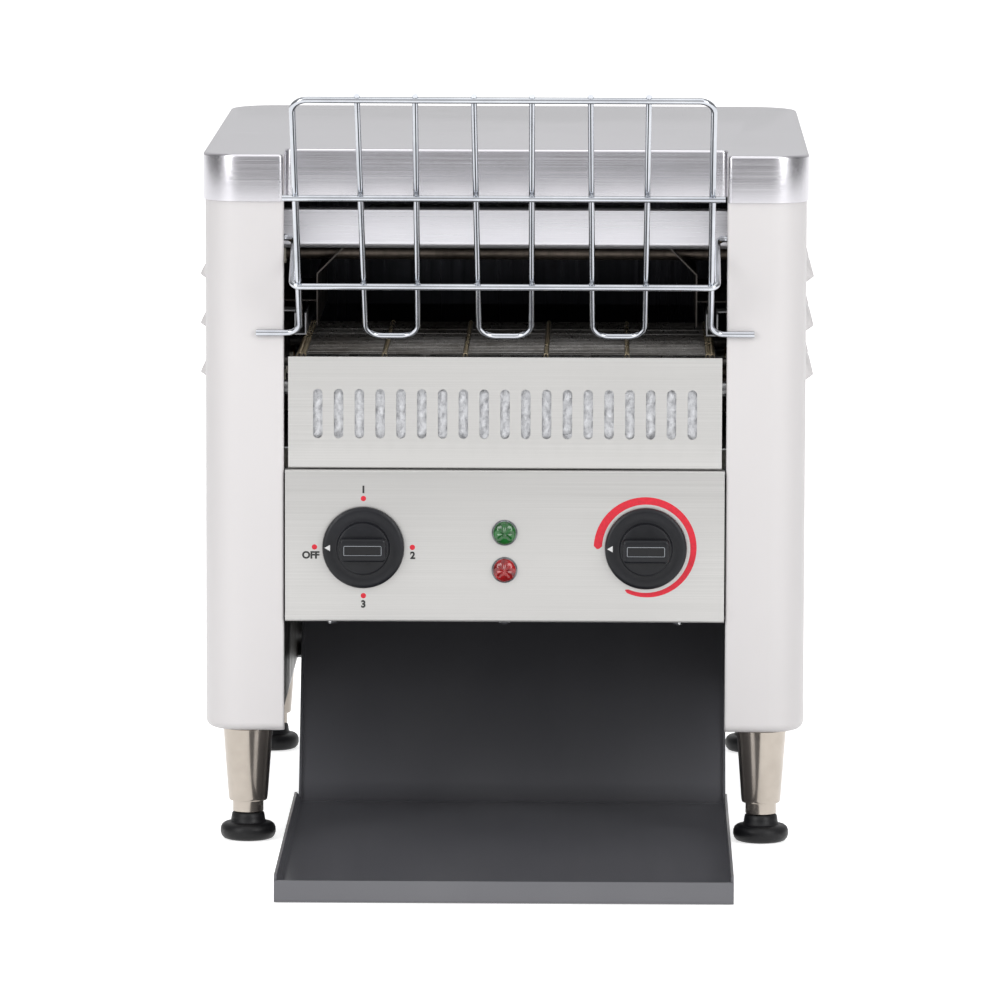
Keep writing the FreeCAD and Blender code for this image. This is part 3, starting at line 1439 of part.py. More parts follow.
# Toast outlet

def discharge_tray():
    """Loose tray in one piece with the lower ramp, standing on the table."""
    body = new_body("discharge_tray")
    low_x = s.tray_shift - pillar_edge - s.tray_margin
    high_x = s.tray_shift + pillar_edge + s.tray_margin
    skin = s.tray_sheet
    front = -s.tray_reach
    end_low = on_ramp(s.tray_ramp)
    end_high = on_ramp(s.tray_ramp, skin)
    section = [(front, 0), (s.tray_bend, 0), end_low, end_high,
               (s.tray_bend - ramp_corner, skin), (front + skin, skin),
               (front + skin, s.tray_lip), (front, s.tray_lip)]
    pad(body, "YZ", [section], low_x, high_x)

    def across_at(y, z):
        return lambda b: near(b.YMin, y) and near(b.YMax, y) and near(b.ZMin, z) and near(b.ZMax, z)

    rounded(body, s.tray_bend_radius + skin, across_at(s.tray_bend, 0))
    rounded(body, s.tray_bend_radius, across_at(s.tray_bend - ramp_corner, skin))
    rounded(body, skin * 1.5, across_at(front, 0))
    sink = skin / 2
    centre_z = s.tray_bend_radius + skin
    centre_y = s.tray_bend - centre_z * tangent(s.ramp_angle / 2)

    def bend_points(up):
        radius = centre_z - up
        turns = [s.ramp_angle / 4 * count for count in range(5)]
        return [(centre_y + radius * sine(turn), centre_z - radius * cosine(turn))
                for turn in turns]

    profile = bend_points(sink)
    profile += [on_ramp(s.tray_ramp, sink), on_ramp(s.tray_ramp, s.ramp_side)]
    profile += bend_points(s.ramp_side)[::-1]
    profile += [(s.tray_side_end, s.tray_side), (front + skin * 3, s.tray_side),
                (front + skin * 3, sink)]
    for low, high in ((low_x, low_x + skin), (high_x - skin, high_x)):
        pad(body, "YZ", [profile], low, high)
    return node("discharge_tray", body)


def toast_slide():
    """Fixed slide in line with the tray's ramp, with an upright back above it."""
    slide_half = wall_inner - s.slide_gap
    body = new_body("toast_slide")
    skin = s.tray_sheet
    gap = s.loose_fit + 0.1
    start_low = on_ramp(s.tray_ramp + gap)
    start_high = on_ramp(s.tray_ramp + gap, skin)
    top_along = s.tray_ramp + s.slide_length
    end_low = on_ramp(top_along)
    end_high = on_ramp(top_along, skin)
    back = end_low[0]
    section = [start_low, end_low, (back, s.slide_top), (back - skin, s.slide_top),
               (back - skin, end_high[1] - skin / 2), start_high]
    pad(body, "YZ", [section], -slide_half, slide_half)
    flange = 10.0
    for side in (-1, 1):
        pad(body, "YZ", [[(back, end_low[1] + 10), (back + flange, end_low[1] + 10),
                          (back + flange, s.slide_top), (back, s.slide_top)]],
            *ordered(slide_half * side, (slide_half - skin) * side))
    return node("toast_slide", body)


# Rear services

def fan():
    """Axial fan on the rear cover: frame with a spider, rotor and wire guard."""
    half = s.fan_side / 2
    rear = back_inner - s.panel_sheet
    front = rear - s.fan_depth
    x = -s.fan_centre
    level = s.fan_level
    frame = box("fan_block", (x - half, x + half), (front, rear), (level - half, level + half))
    frame = cut("fan_block", frame, [rod("fan_hole", s.fan_bore, "Y", front - 1, rear + 1, x, level)])
    plate = 3.0
    spider = [rod("fan_spider_hub", s.fan_hub, "Y", front, front + plate, x, level),
              box("fan_spider_bar", (x - half + 1, x + half - 1), (front, front + plate),
                  (level - 2, level + 2)),
              box("fan_spider_post", (x - 2, x + 2), (front, front + plate),
                  (level - half + 1, level + half - 1))]
    bearing = rod("fan_bearing", 2.0 + s.thread_fit, "Y", front - 1, front + plate + 1, x, level)
    node("fan_frame", cut("fan_frame", fuse("fan_frame_blank", [frame] + spider), [bearing]))
    hub_front = front + plate + 1
    hub_back = rear - 1
    blades = [Part.makeCylinder(float(s.fan_hub), float(hub_back - hub_front),
                                vector(0, hub_front, 0), FreeCAD.Vector(0, 1, 0)),
              Part.makeCylinder(2.0, float(hub_back - front), vector(0, front, 0),
                                FreeCAD.Vector(0, 1, 0))]
    reach = float(s.fan_blade_tip)
    count = int(float(s.fan_blades))
    for index in range(count):
        blade = Part.makeBox(1.6, 20, reach - 12, FreeCAD.Vector(-0.8, -10, 12))
        blade.rotate(FreeCAD.Vector(), FreeCAD.Vector(0, 0, 1), 40)
        blade.translate(FreeCAD.Vector(0, float(hub_front + hub_back) / 2, 0))
        blade.rotate(FreeCAD.Vector(), FreeCAD.Vector(0, 1, 0), 360 * index / count)
        blades.append(blade)
    limit = Part.makeCylinder(reach, float(hub_back - hub_front), vector(0, hub_front, 0),
                              FreeCAD.Vector(0, 1, 0))
    rotor = blades[0].multiFuse([blade.common(limit) for blade in blades[2:]] + [blades[1]])
    rotor.translate(vector(x, 0, level))
    node("fan_rotor", shaped("fan_rotor", rotor))


def fan_guard():
    """Wire guard outside the rear cover: rings welded behind two crossed bars."""
    wire = float(s.guard_wire)
    step = float(s.guard_ring)
    y = float(back_inner) + wire
    centre = vector(-float(s.fan_centre), y, s.fan_level)
    axis = FreeCAD.Vector(0, 1, 0)
    behind = centre + axis * (wire * 1.2)
    parts = []
    for count in range(1, int(float(s.guard_rings)) + 1):
        parts.append(Part.makeTorus(step * count, wire, behind, axis))
    hold = float(s.guard_hold)
    for angle in (45, 135):
        heading = FreeCAD.Vector(math.cos(math.radians(angle)), 0, math.sin(math.radians(angle)))
        parts.append(Part.makeCylinder(wire, 2 * hold, centre - heading * hold, heading))
        for sign in (-1, 1):
            spot = centre + heading * (hold * sign)
            parts.append(Part.makeCylinder(wire * 2.2, wire * 2, spot - axis * wire, axis))
    guard = parts[0].multiFuse(parts[1:])
    return node("fan_guard", shaped("fan_guard", guard))


def cord_gland():
    """Gland in the rear cover for the supply cord."""
    body = new_body("gland_turned")
    inside = back_inner - s.panel_sheet - 8
    tip = s.body_depth + s.gland_reach
    flange = back_inner + 6
    outline = [(s.gland_bore, inside), (s.gland_radius - 3, inside),
               (s.gland_radius - 3, back_inner), (s.gland_radius, back_inner),
               (s.gland_radius, flange), (s.gland_radius - 2.5, tip), (s.gland_bore, tip)]
    revolve(body, outline, "XY")
    place(body, s.gland_centre, 0, s.gland_level)
    return node("cord_gland", group("cord_gland", [body]))


def terminal_block():
    """Terminal block on the base plate's cross strip."""
    half = s.terminal_length / 2
    start = back_inner - s.rear_strip + 8
    block = box("terminal_base", (s.gland_centre - half, s.gland_centre + half),
                (start, start + s.terminal_depth), (base_high, base_high + s.terminal_height))
    wells = []
    for count in range(5):
        x = s.gland_centre - half + s.terminal_length / 5 * (count + 0.5)
        wells.append(rod(f"terminal_well{count}", 3.0, "Z", base_high + s.terminal_height - 6,
                         base_high + s.terminal_height + 1, x, start + s.terminal_depth / 2))
    return node("terminal_block", cut("terminal_block", block, wells))


# Building the machine

for side_name, side in SIDES:
    side_panel(f"side_panel_{side_name}", side)
    inner_wall(f"inner_wall_{side_name}", side)
top_cover()
base_plate()
rear_cover()
cover_screws()
legs()
leg_nuts()
for side_name, side in SIDES:
    levelling_foot(f"foot_front_{side_name}", leg_side * side, s.leg_inset)
    levelling_foot(f"foot_rear_{side_name}", leg_side * side, s.body_depth - s.leg_inset)
conveyor_belt()
shafts()
belt_sprockets()
idler_rollers()
shaft_bushes()
belt_rails()
belt_guides()
gear_motor()
motor_sprocket()
shaft_sprocket()
drive_chain()
heating_elements()
element_insulators()
upper_reflector()
lower_reflector()
nose_guard()
belt_pan()
insulation()
slotted_front_panel()
control_panel()
control_panel_screws()
control_box()
knob("selector_knob", -s.knob_side)
knob("browning_knob", s.knob_side)
selector_switch()
speed_control()
lamps()
loading_rack()
rack_bushes()
discharge_tray()
toast_slide()
fan()
fan_guard()
cord_gland()
terminal_block()
doc.recompute()


# Checks and export

def check():
    """Stops on any failed object or bad shape."""
    for item in doc.Objects:
        if {"Invalid", "Error"} & set(item.State):
            raise RuntimeError(f"{item.Name} failed: {item.State}")
    for item in nodes:
        if item.Shape.isNull() or not item.Shape.isValid() or not item.Shape.Solids:
            raise RuntimeError(f"{item.Label} has no good shape")


check()
os.makedirs("parts", exist_ok=True)
for item in nodes:
    item.Shape.exportStep(f"parts/{item.Label}.step")
    print(f"{item.Label}: {len(item.Shape.Solids)} solids")
print(f"{len(nodes)} sub-parts")
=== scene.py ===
"""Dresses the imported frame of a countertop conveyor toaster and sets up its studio."""
from __future__ import annotations

import logging
import math
from collections.abc import Sequence
from dataclasses import dataclass
from enum import Enum

import bmesh
import bpy
import numpy as np
from mathutils import Matrix, Vector


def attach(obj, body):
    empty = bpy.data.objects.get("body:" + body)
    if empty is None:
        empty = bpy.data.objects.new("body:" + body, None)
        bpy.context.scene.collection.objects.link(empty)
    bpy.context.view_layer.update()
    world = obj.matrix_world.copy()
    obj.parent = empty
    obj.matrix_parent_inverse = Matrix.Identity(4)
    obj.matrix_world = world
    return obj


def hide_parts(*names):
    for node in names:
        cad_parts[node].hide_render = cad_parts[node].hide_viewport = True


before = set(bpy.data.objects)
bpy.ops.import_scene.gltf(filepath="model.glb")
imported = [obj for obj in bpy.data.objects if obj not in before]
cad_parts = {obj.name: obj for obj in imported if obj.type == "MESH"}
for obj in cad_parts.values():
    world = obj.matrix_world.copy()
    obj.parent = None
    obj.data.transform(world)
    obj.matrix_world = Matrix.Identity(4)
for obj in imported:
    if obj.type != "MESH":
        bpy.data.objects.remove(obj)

LOG = logging.getLogger("toaster")
MM = 0.001
# Y of the pillar fronts in the frame, from which the pieces count theirs
FRONT = -97.0
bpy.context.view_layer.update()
OPENING_HALF = 130.8
CASING_FOOT = 67.3
KNOB_SIDE = 83.6
KNOB_LEVEL = 178.0
INK = 0.06
LETTER_SIZE = 1.35
LETTER_WEIGHT = 0.065


# Surfaces on grids

@dataclass
class Patch:
    """Points in millimetres, with Y counted from the pillar fronts, and faces that index them."""

    points: np.ndarray
    faces: list[tuple[int, ...]]

    def mirrored(self) -> "Patch":
        """Returns the patch on the other side of the machine, faces turned round."""
        return Patch(self.points * (-1.0, 1.0, 1.0), [face[::-1] for face in self.faces])


def joined(patches: Sequence[Patch]) -> Patch:
    """Joins patches into one.

    Args:
        patches: the patches, in order.

    Returns:
        One patch with every point and face.
    """
    points, faces, count = [], [], 0
    for patch in patches:
        points.append(patch.points)
        faces += [tuple(index + count for index in face) for face in patch.faces]
        count += len(patch.points)
    return Patch(np.vstack(points), faces)


def surface(points: np.ndarray, wrap: bool = False, caps: bool = False,
            keep: np.ndarray | None = None) -> Patch:
    """Turns a grid of points into four-sided faces.

    Args:
        points: rows by columns by three coordinates.
        wrap: joins the last column to the first.
        caps: closes the first and the last row with one face each.
        keep: which faces stay, rows less one by columns less one.

    Returns:
        The patch of the grid.
    """
    rows, columns = points.shape[:2]
    index = np.arange(rows * columns).reshape(rows, columns)
    if wrap:
        index = np.hstack([index, index[:, :1]])
    quads = np.stack([index[:-1, :-1], index[:-1, 1:], index[1:, 1:], index[1:, :-1]], axis=-1)
    quads = quads.reshape(-1, 4) if keep is None else quads[keep]
    faces = [tuple(quad) for quad in quads.tolist()]
    if caps:
        ends = index[:, :-1] if wrap else index
        faces += [tuple(ends[0].tolist()), tuple(ends[-1].tolist()[::-1])]
    return Patch(points.reshape(-1, 3), faces)


def carried_across(profile: np.ndarray, places: Sequence[float] | np.ndarray) -> Patch:
    """Folded sheet: each point of a profile carried across the machine.

    Args:
        profile: Y and Z of each point.
        places: X of each column.

    Returns:
        The patch of the sheet.
    """
    points = np.zeros((len(profile), len(places), 3))
    points[..., 0] = places
    points[..., 1:] = profile[:, None]
    return surface(points)


def unit(vectors: np.ndarray) -> np.ndarray:
    """Returns vectors divided by their lengths."""
    return vectors / np.maximum(np.linalg.norm(vectors, axis=-1, keepdims=True), 1e-12)


def rounded_path(corners: Sequence[Sequence[float]] | np.ndarray, radii: float | Sequence[float],
                 closed: bool = False, steps: int = 8) -> np.ndarray:
    """Polyline whose corners are arcs.

    Each arc's centre is on the bisector of its corner, at radius / sin(half the corner angle).
    Its points turn evenly from the point where it leaves one side to where it meets the next.

    Args:
        corners: corner points in two or three dimensions.
        radii: one radius, or one for each corner.
        closed: joins the last corner to the first.
        steps: chords in each arc.

    Returns:
        The points of the path.
    """
    corners = np.asarray(corners, float)
    radii = np.broadcast_to(np.asarray(radii, float), len(corners))
    back = unit(np.roll(corners, 1, axis=0) - corners)
    ahead = unit(np.roll(corners, -1, axis=0) - corners)
    inner = slice(None) if closed else slice(1, -1)
    back, ahead, middle, radius = back[inner], ahead[inner], corners[inner], radii[inner, None]
    half = np.arccos(np.clip(np.sum(back * ahead, axis=1, keepdims=True), -1, 1)) / 2
    centre = unit(back + ahead) * radius / np.sin(half)
    leg = radius / np.tan(half)
    first, last = back * leg - centre, ahead * leg - centre
    turn = math.pi - 2 * half
    share = np.linspace(0, 1, steps + 1)[None, :, None]
    arcs = (np.sin((1 - share) * turn[:, None]) * first[:, None]
            + np.sin(share * turn[:, None]) * last[:, None]) / np.sin(turn[:, None])
    path = (middle[:, None] + centre[:, None] + arcs).reshape(-1, corners.shape[1])
    return path if closed else np.vstack([corners[:1], path, corners[-1:]])


def tube(path: np.ndarray, radius: float, normal: Sequence[float] | np.ndarray,
         sides: int = 12, caps: bool = True) -> Patch:
    """Round bar along a path: a circle carried across the path's tangent.

    Args:
        path: points of the centre line.
        radius: radius of the bar.
        normal: a direction across the path, one for all points or one for each.
        sides: points round the bar.
        caps: closes both ends.

    Returns:
        The patch of the bar.
    """
    tangent = unit(np.gradient(path, axis=0))
    across = unit(np.cross(tangent, np.broadcast_to(np.asarray(normal, float), path.shape)))
    up = np.cross(across, tangent)
    angle = np.linspace(0, 2 * math.pi, sides, endpoint=False)[None, :, None]
    circle = np.cos(angle) * across[:, None] + np.sin(angle) * up[:, None]
    return surface(path[:, None] + radius * circle, wrap=True, caps=caps)


class Axis(Enum):
    """Direction that a turned piece is turned about, by the indices of its coordinates."""

    ALONG_Y = (0, 2, 1)
    ALONG_Z = (0, 1, 2)


def turned(profile: Sequence[Sequence[float]], centre: Sequence[float], axis: Axis = Axis.ALONG_Z,
           sides: int = 48) -> Patch:
    """Turned piece: each point of a profile carried round an axis at its own radius.

    Args:
        profile: radius and height of each point, the height counted along the axis.
        centre: a point on the axis from which heights are counted.
        axis: the axis.
        sides: points round the piece.

    Returns:
        The patch of the piece.
    """
    outline = np.asarray(profile, float)
    angle = np.linspace(0, 2 * math.pi, sides, endpoint=False)
    points = np.zeros((len(outline), sides, 3))
    first, second, third = axis.value
    points[..., first] = outline[:, :1] * np.cos(angle)
    points[..., second] = outline[:, :1] * np.sin(angle)
    points[..., third] = outline[:, 1:]
    return surface(points + np.asarray(centre, float), wrap=True)


def oblong(half_x: float, half_z: float, radius: float, y: float, x: float, z: float) -> np.ndarray:
    """Rounded rectangle that faces the feed side.

    Args:
        half_x: half its width.
        half_z: half its height.
        radius: radius of its corners.
        y: its place behind the pillar fronts.
        x: its centre across.
        z: its centre above the table.

    Returns:
        The points of its outline.
    """
    corners = [(x - half_x, z - half_z), (x + half_x, z - half_z),
               (x + half_x, z + half_z), (x - half_x, z + half_z)]
    path = rounded_path(corners, radius, closed=True, steps=5)
    return np.column_stack([path[:, 0], np.full(len(path), y), path[:, 1]])


# Finishes

def linear(code: str) -> tuple[float, float, float, float]:
    """Converts a colour such as dcdad9 to scene values.

    Args:
        code: six hexadecimal digits.

    Returns:
        Red, green, blue and alpha in linear light.
    """
    parts = np.array([int(code[at:at + 2], 16) for at in (0, 2, 4)]) / 255
    values = np.where(parts <= 0.04045, parts / 12.92, ((parts + 0.055) / 1.055) ** 2.4)
    return (*values.tolist(), 1.0)


def fill_ramp(ramp: bpy.types.Node, stops: Sequence[tuple[float, Sequence[float]]]) -> None:
    """Sets the stops of a colour ramp, each a place from 0 to 1 and a colour."""
    elements = ramp.color_ramp.elements
    while len(elements) < len(stops):
        elements.new(0.5)
    for element, (place, colour) in zip(elements, stops):
        element.position = place
        element.color = colour


class Tree:
    """Node tree of one material, with short calls to grow it."""

    def __init__(self, name: str) -> None:
        """Starts a material with one principled shader."""
        self.material = bpy.data.materials.new(name)
        self.material.use_nodes = True
        self.nodes = self.material.node_tree.nodes
        self.links = self.material.node_tree.links
        self.nodes.clear()
        self.output = self.nodes.new("ShaderNodeOutputMaterial")
        self.shader = self.nodes.new("ShaderNodeBsdfPrincipled")
        self.links.new(self.shader.outputs["BSDF"], self.output.inputs["Surface"])

    def set(self, **values: object) -> None:
        """Sets sockets of the shader; an underscore stands for a space."""
        for name, value in values.items():
            self.shader.inputs[name.replace("_", " ")].default_value = value

    def node(self, kind: str, **values: object) -> bpy.types.Node:
        """Adds a node and sets its properties by name."""
        node = self.nodes.new(kind)
        for name, value in values.items():
            setattr(node, name, value)
        return node

    def noise(self, stretch: Sequence[float], detail: float = 3.0,
              roughness: float = 0.55) -> bpy.types.NodeSocket:
        """Noise in the piece's own coordinates.

        Args:
            stretch: waves per metre along X, Y and Z.
            detail: octaves.
            roughness: strength of the finer octaves.

        Returns:
            The noise value, from 0 to 1.
        """
        coordinates = self.node("ShaderNodeTexCoord")
        mapping = self.node("ShaderNodeMapping")
        mapping.inputs["Scale"].default_value = tuple(stretch)
        noise = self.node("ShaderNodeTexNoise")
        noise.inputs["Scale"].default_value = 1.0
        noise.inputs["Detail"].default_value = detail
        noise.inputs["Roughness"].default_value = roughness
        self.links.new(coordinates.outputs["Object"], mapping.inputs["Vector"])
        self.links.new(mapping.outputs["Vector"], noise.inputs["Vector"])
        return noise.outputs["Fac"]

    def spread(self, value: bpy.types.NodeSocket, low: float, high: float,
               start: float = 0.3, stop: float = 0.7) -> bpy.types.NodeSocket:
        """Maps a noise value to a range.

        Args:
            value: the socket to read.
            low: result at start.
            high: result at stop.
            start: noise value that gives low.
            stop: noise value that gives high.

        Returns:
            The mapped value.
        """
        node = self.node("ShaderNodeMapRange")
        for name, number in (("From Min", start), ("From Max", stop), ("To Min", low),
                             ("To Max", high)):
            node.inputs[name].default_value = number
        self.links.new(value, node.inputs["Value"])
        return node.outputs["Result"]

    def tones(self, value: bpy.types.NodeSocket, *stops: tuple[float, str]) -> bpy.types.NodeSocket:
        """Colours along a noise value.

        Args:
            value: the socket to read.
            stops: places from 0 to 1 with their colours.

        Returns:
            The colour.
        """
        ramp = self.node("ShaderNodeValToRGB")
        fill_ramp(ramp, [(place, linear(code)) for place, code in stops])
        self.links.new(value, ramp.inputs["Fac"])
        return ramp.outputs["Color"]

    def blend(self, factor: bpy.types.NodeSocket, first: bpy.types.NodeSocket | str,
              second: bpy.types.NodeSocket | str) -> bpy.types.NodeSocket:
        """Mixes two colours, given as sockets or codes, by a factor."""
        mix = self.node("ShaderNodeMix", data_type="RGBA")
        self.links.new(factor, mix.inputs["Factor"])
        for socket, colour in ((mix.inputs[6], first), (mix.inputs[7], second)):
            if isinstance(colour, str):
                socket.default_value = linear(colour)
            else:
                self.links.new(colour, socket)
        return mix.outputs[2]

    def relief(self, value: bpy.types.NodeSocket, height: float, strength: float = 1.0) -> None:
        """Adds a bump of a height in millimetres under any bump that is there already."""
        bump = self.node("ShaderNodeBump")
        bump.inputs["Strength"].default_value = strength
        bump.inputs["Distance"].default_value = height * MM
        self.links.new(value, bump.inputs["Height"])
        target = self.shader.inputs["Normal"]
        if target.is_linked:
            self.links.new(target.links[0].from_socket, bump.inputs["Normal"])
        self.links.new(bump.outputs["Normal"], target)

    def drive(self, name: str, value: bpy.types.NodeSocket) -> None:
        """Links a value to one of the shader's sockets."""
        self.links.new(value, self.shader.inputs[name])

    def tint(self, value: bpy.types.NodeSocket, first: bpy.types.NodeSocket | str,
             second: bpy.types.NodeSocket | str) -> None:
        """Colours the surface from one colour to another along a noise value."""
        self.drive("Base Color", self.blend(self.spread(value, 0, 1), first, second))

    def vary(self, value: bpy.types.NodeSocket, roughness: float, less: float, more: float) -> None:
        """Lets the roughness run along a noise value.

        Args:
            value: the socket to read.
            roughness: the middle value.
            less: how far it falls below that.
            more: how far it rises above that.
        """
        self.drive("Roughness", self.spread(value, roughness - less, roughness + more))


@dataclass(frozen=True)
class Finish:
    """A named finish; its material is made once and shared."""

    name: str
    colour: str
    roughness: float = 0.4

    def grow(self, tree: Tree) -> None:
        """Adds this finish's nodes to the tree."""
        raise NotImplementedError

    def material(self) -> bpy.types.Material:
        """Returns the material, made at the first call."""
        if self not in MADE:
            tree = Tree(self.name)
            tree.set(Roughness=self.roughness, Base_Color=linear(self.colour))
            self.grow(tree)
            MADE[self] = tree.material
        return MADE[self]


MADE: dict[Finish, bpy.types.Material] = {}


@dataclass(frozen=True)
class PowderCoat(Finish):
    """Satin paint with a fine orange-peel skin."""

    shade: str = "d2d0cf"
    peel: float = 0.012

    def grow(self, tree: Tree) -> None:
        """Adds faint clouds of tone, a soft coat and the skin."""
        tree.tint(tree.noise((6, 6, 3), 2), self.colour, self.shade)
        tree.vary(tree.noise((60,) * 3), self.roughness, 0.04, 0.06)
        tree.set(Coat_Weight=0.12, Coat_Roughness=0.25, Specular_IOR_Level=0.45)
        tree.relief(tree.noise((700,) * 3, 2), self.peel, 0.35)


@dataclass(frozen=True)
class BrushedSteel(Finish):
    """Steel with fine lines brushed along one direction."""

    shade: str = "b0b0b2"
    lines: tuple[float, float, float] = (5.0, 900.0, 2600.0)
    depth: float = 0.006
    diffuse: float = 0.0

    def grow(self, tree: Tree) -> None:
        """Adds lines to the colour, the roughness and the surface."""
        lines = tree.noise(self.lines, 4, 0.7)
        clouds = tree.noise((9,) * 3, 2)
        toned = tree.blend(tree.spread(lines, 0, 1), self.shade, self.colour)
        tree.drive("Base Color", tree.blend(tree.spread(clouds, 0, 0.35), toned, self.shade))
        tree.vary(lines, self.roughness, 0.06, 0.08)
        tree.set(Metallic=1.0 - self.diffuse, Anisotropic=0.35)
        tree.relief(lines, self.depth, 0.5)


@dataclass(frozen=True)
class PlainSteel(Finish):
    """Rolled or drawn steel with faint smudges, such as zinc sheet, chrome or nickel."""

    shade: str = "9a9a9a"
    smudge: float = 30.0

    def grow(self, tree: Tree) -> None:
        """Adds smudges to the colour and the roughness."""
        smudges = tree.noise((self.smudge,) * 3, 5, 0.6)
        tree.tint(smudges, self.colour, self.shade)
        tree.drive("Roughness", tree.spread(smudges, self.roughness * 0.7, self.roughness * 1.3))
        tree.set(Metallic=1.0)
        tree.relief(tree.noise((self.smudge * 20,) * 3, 2), 0.002, 0.3)


@dataclass(frozen=True)
class GlossEnamel(Finish):
    """Dark non-stick coating with a soft gloss and fine flow lines."""

    shade: str = "3a3a3d"

    def grow(self, tree: Tree) -> None:
        """Adds flow lines, tone and a clear coat."""
        tree.tint(tree.noise((9, 5, 5), 2), self.colour, self.shade)
        tree.vary(tree.noise((90, 5, 5), 3, 0.5), self.roughness, 0.03, 0.07)
        tree.set(Metallic=0.1, Coat_Weight=0.15, Coat_Roughness=0.16)
        tree.relief(tree.noise((900,) * 3, 2), 0.003, 0.25)


@dataclass(frozen=True)
class MouldedPlastic(Finish):
    """Moulded plastic or rubber with a fine grain."""

    shade: str = "1d1d20"
    grain: float = 0.02
    gloss: float = 0.0

    def grow(self, tree: Tree) -> None:
        """Adds grain and uneven tone."""
        tree.tint(tree.noise((40,) * 3, 4), self.colour, self.shade)
        tree.vary(tree.noise((300,) * 3), self.roughness, 0.06, 0.08)
        tree.set(Coat_Weight=self.gloss, Coat_Roughness=0.12, Specular_IOR_Level=0.3)
        tree.relief(tree.noise((1500,) * 3, 2), self.grain, 0.4)


@dataclass(frozen=True)
class HeatedMetal(Finish):
    """Metal that heat has darkened in patches and streaks."""

    shade: str = "3d3630"
    streaks: tuple[float, float, float] = (200.0, 60.0, 9.0)
    metal: float = 0.8

    def grow(self, tree: Tree) -> None:
        """Adds patches of oxide and streaks."""
        patches = tree.noise((14,) * 3, 5, 0.65)
        streaks = tree.noise(self.streaks, 4, 0.65)
        toned = tree.blend(tree.spread(patches, 0, 1), self.colour, self.shade)
        darkened = tree.blend(tree.spread(streaks, 0, 0.6, 0.5, 0.75), toned, self.shade)
        tree.drive("Base Color", darkened)
        tree.vary(streaks, self.roughness, 0.1, 0.14)
        tree.set(Metallic=self.metal)
        tree.relief(patches, 0.02, 0.4)


@dataclass(frozen=True)
class CrumpledFoil(Finish):
    """Bright wrinkled facing of the insulation."""

    # The shade colour paints the shade of the hollows and the crest colour paints the highlight on
    # the crests.
    shade: str = "8d9096"
    crest_highlight: str = "dcdde0"

    def grow(self, tree: Tree) -> None:
        """Adds wrinkles, with painted shade in their hollows and painted highlights on their
        crests.
        """
        wrinkles = tree.noise((330, 330, 260), 5, 0.7)
        tree.drive("Base Color", tree.tones(wrinkles, (0.32, self.shade), (0.5, self.colour),
                                            (0.72, self.crest_highlight)))
        tree.set(Metallic=0.45)
        tree.relief(wrinkles, 0.9, 0.9)


@dataclass(frozen=True)
class CeramicBody(Finish):
    """Pale unglazed ceramic or mineral wool with specks."""

    shade: str = "cfc8b8"

    def grow(self, tree: Tree) -> None:
        """Adds specks and a rough skin."""
        specks = tree.noise((420,) * 3, 4, 0.7)
        tree.tint(specks, self.colour, self.shade)
        tree.relief(specks, 0.08, 0.6)


@dataclass(frozen=True)
class LampLens(Finish):
    """Clear coloured plastic of an indicator lamp."""

    shade: str = "123d18"

    def grow(self, tree: Tree) -> None:
        """Adds painted shade for depth, a darker tone along the same noise as the relief, and a
        hard gloss.
        """
        facets = tree.noise((260,) * 3, 2)
        tree.tint(facets, self.colour, self.shade)
        tree.set(Coat_Weight=0.35, Coat_Roughness=0.05, Specular_IOR_Level=0.5)
        tree.relief(facets, 0.2, 0.4)


@dataclass(frozen=True)
class PrintedInk(Finish):
    """Thin printed ink, a little uneven."""

    shade: str = "101010"

    def grow(self, tree: Tree) -> None:
        """Adds a slight unevenness of tone."""
        tree.tint(tree.noise((600,) * 3, 3), self.colour, self.shade)


PAINT = PowderCoat("satin_light_grey_paint", "d9d6d6", 0.42, shade="d2cfcf")
COVER_STEEL = BrushedSteel("brushed_cover_steel", "dcdbdf", 0.2, shade="cbc9ce", depth=0.0015)
FACE_STEEL = BrushedSteel("brushed_face_steel", "c6c5c3", 0.34, shade="b5b4b2", diffuse=0.5)
NOSE_STEEL = BrushedSteel("satin_nose_steel", "dcdbdf", 0.3, shade="cccbd0", depth=0.002,
                          diffuse=0.2)
ZINC = PlainSteel("rolled_zinc_sheet", "a2a3a4", 0.38, shade="8b8c8e")
# The dark tone of the inner walls and reflectors is partly heat stain and partly painted shade of
# the chamber.
WALL_STAIN_AND_SHADE = HeatedMetal("wall_steel_stain_and_painted_shade", "57534f", 0.38, shade="2a2623")
# The slide's near-black tone is partly heat stain and partly painted shade of the closed chamber.
SLIDE_STAIN_AND_SHADE = HeatedMetal("slide_steel_stain_and_painted_shade", "2b2c31", 0.3, shade="121217",
                            streaks=(260.0, 20.0, 5.0))
CHROME = PlainSteel("wire_chrome", "c3c6cb", 0.1, shade="aeb1b7")
BEZEL = PlainSteel("bezel_chrome", "8d9094", 0.12, shade="74777b")
FASTENER = PlainSteel("bright_fasteners", "c9cacb", 0.2, shade="aeb0b2")
NICKEL = PlainSteel("warm_nickel", "b3aba2", 0.15, shade="9f978e")
MACHINED = PlainSteel("machined_steel", "b5b5b6", 0.28, shade="999a9b")
BELT_WIRE = HeatedMetal("belt_wire_steel", "8d8b89", 0.3, shade="4b4742")
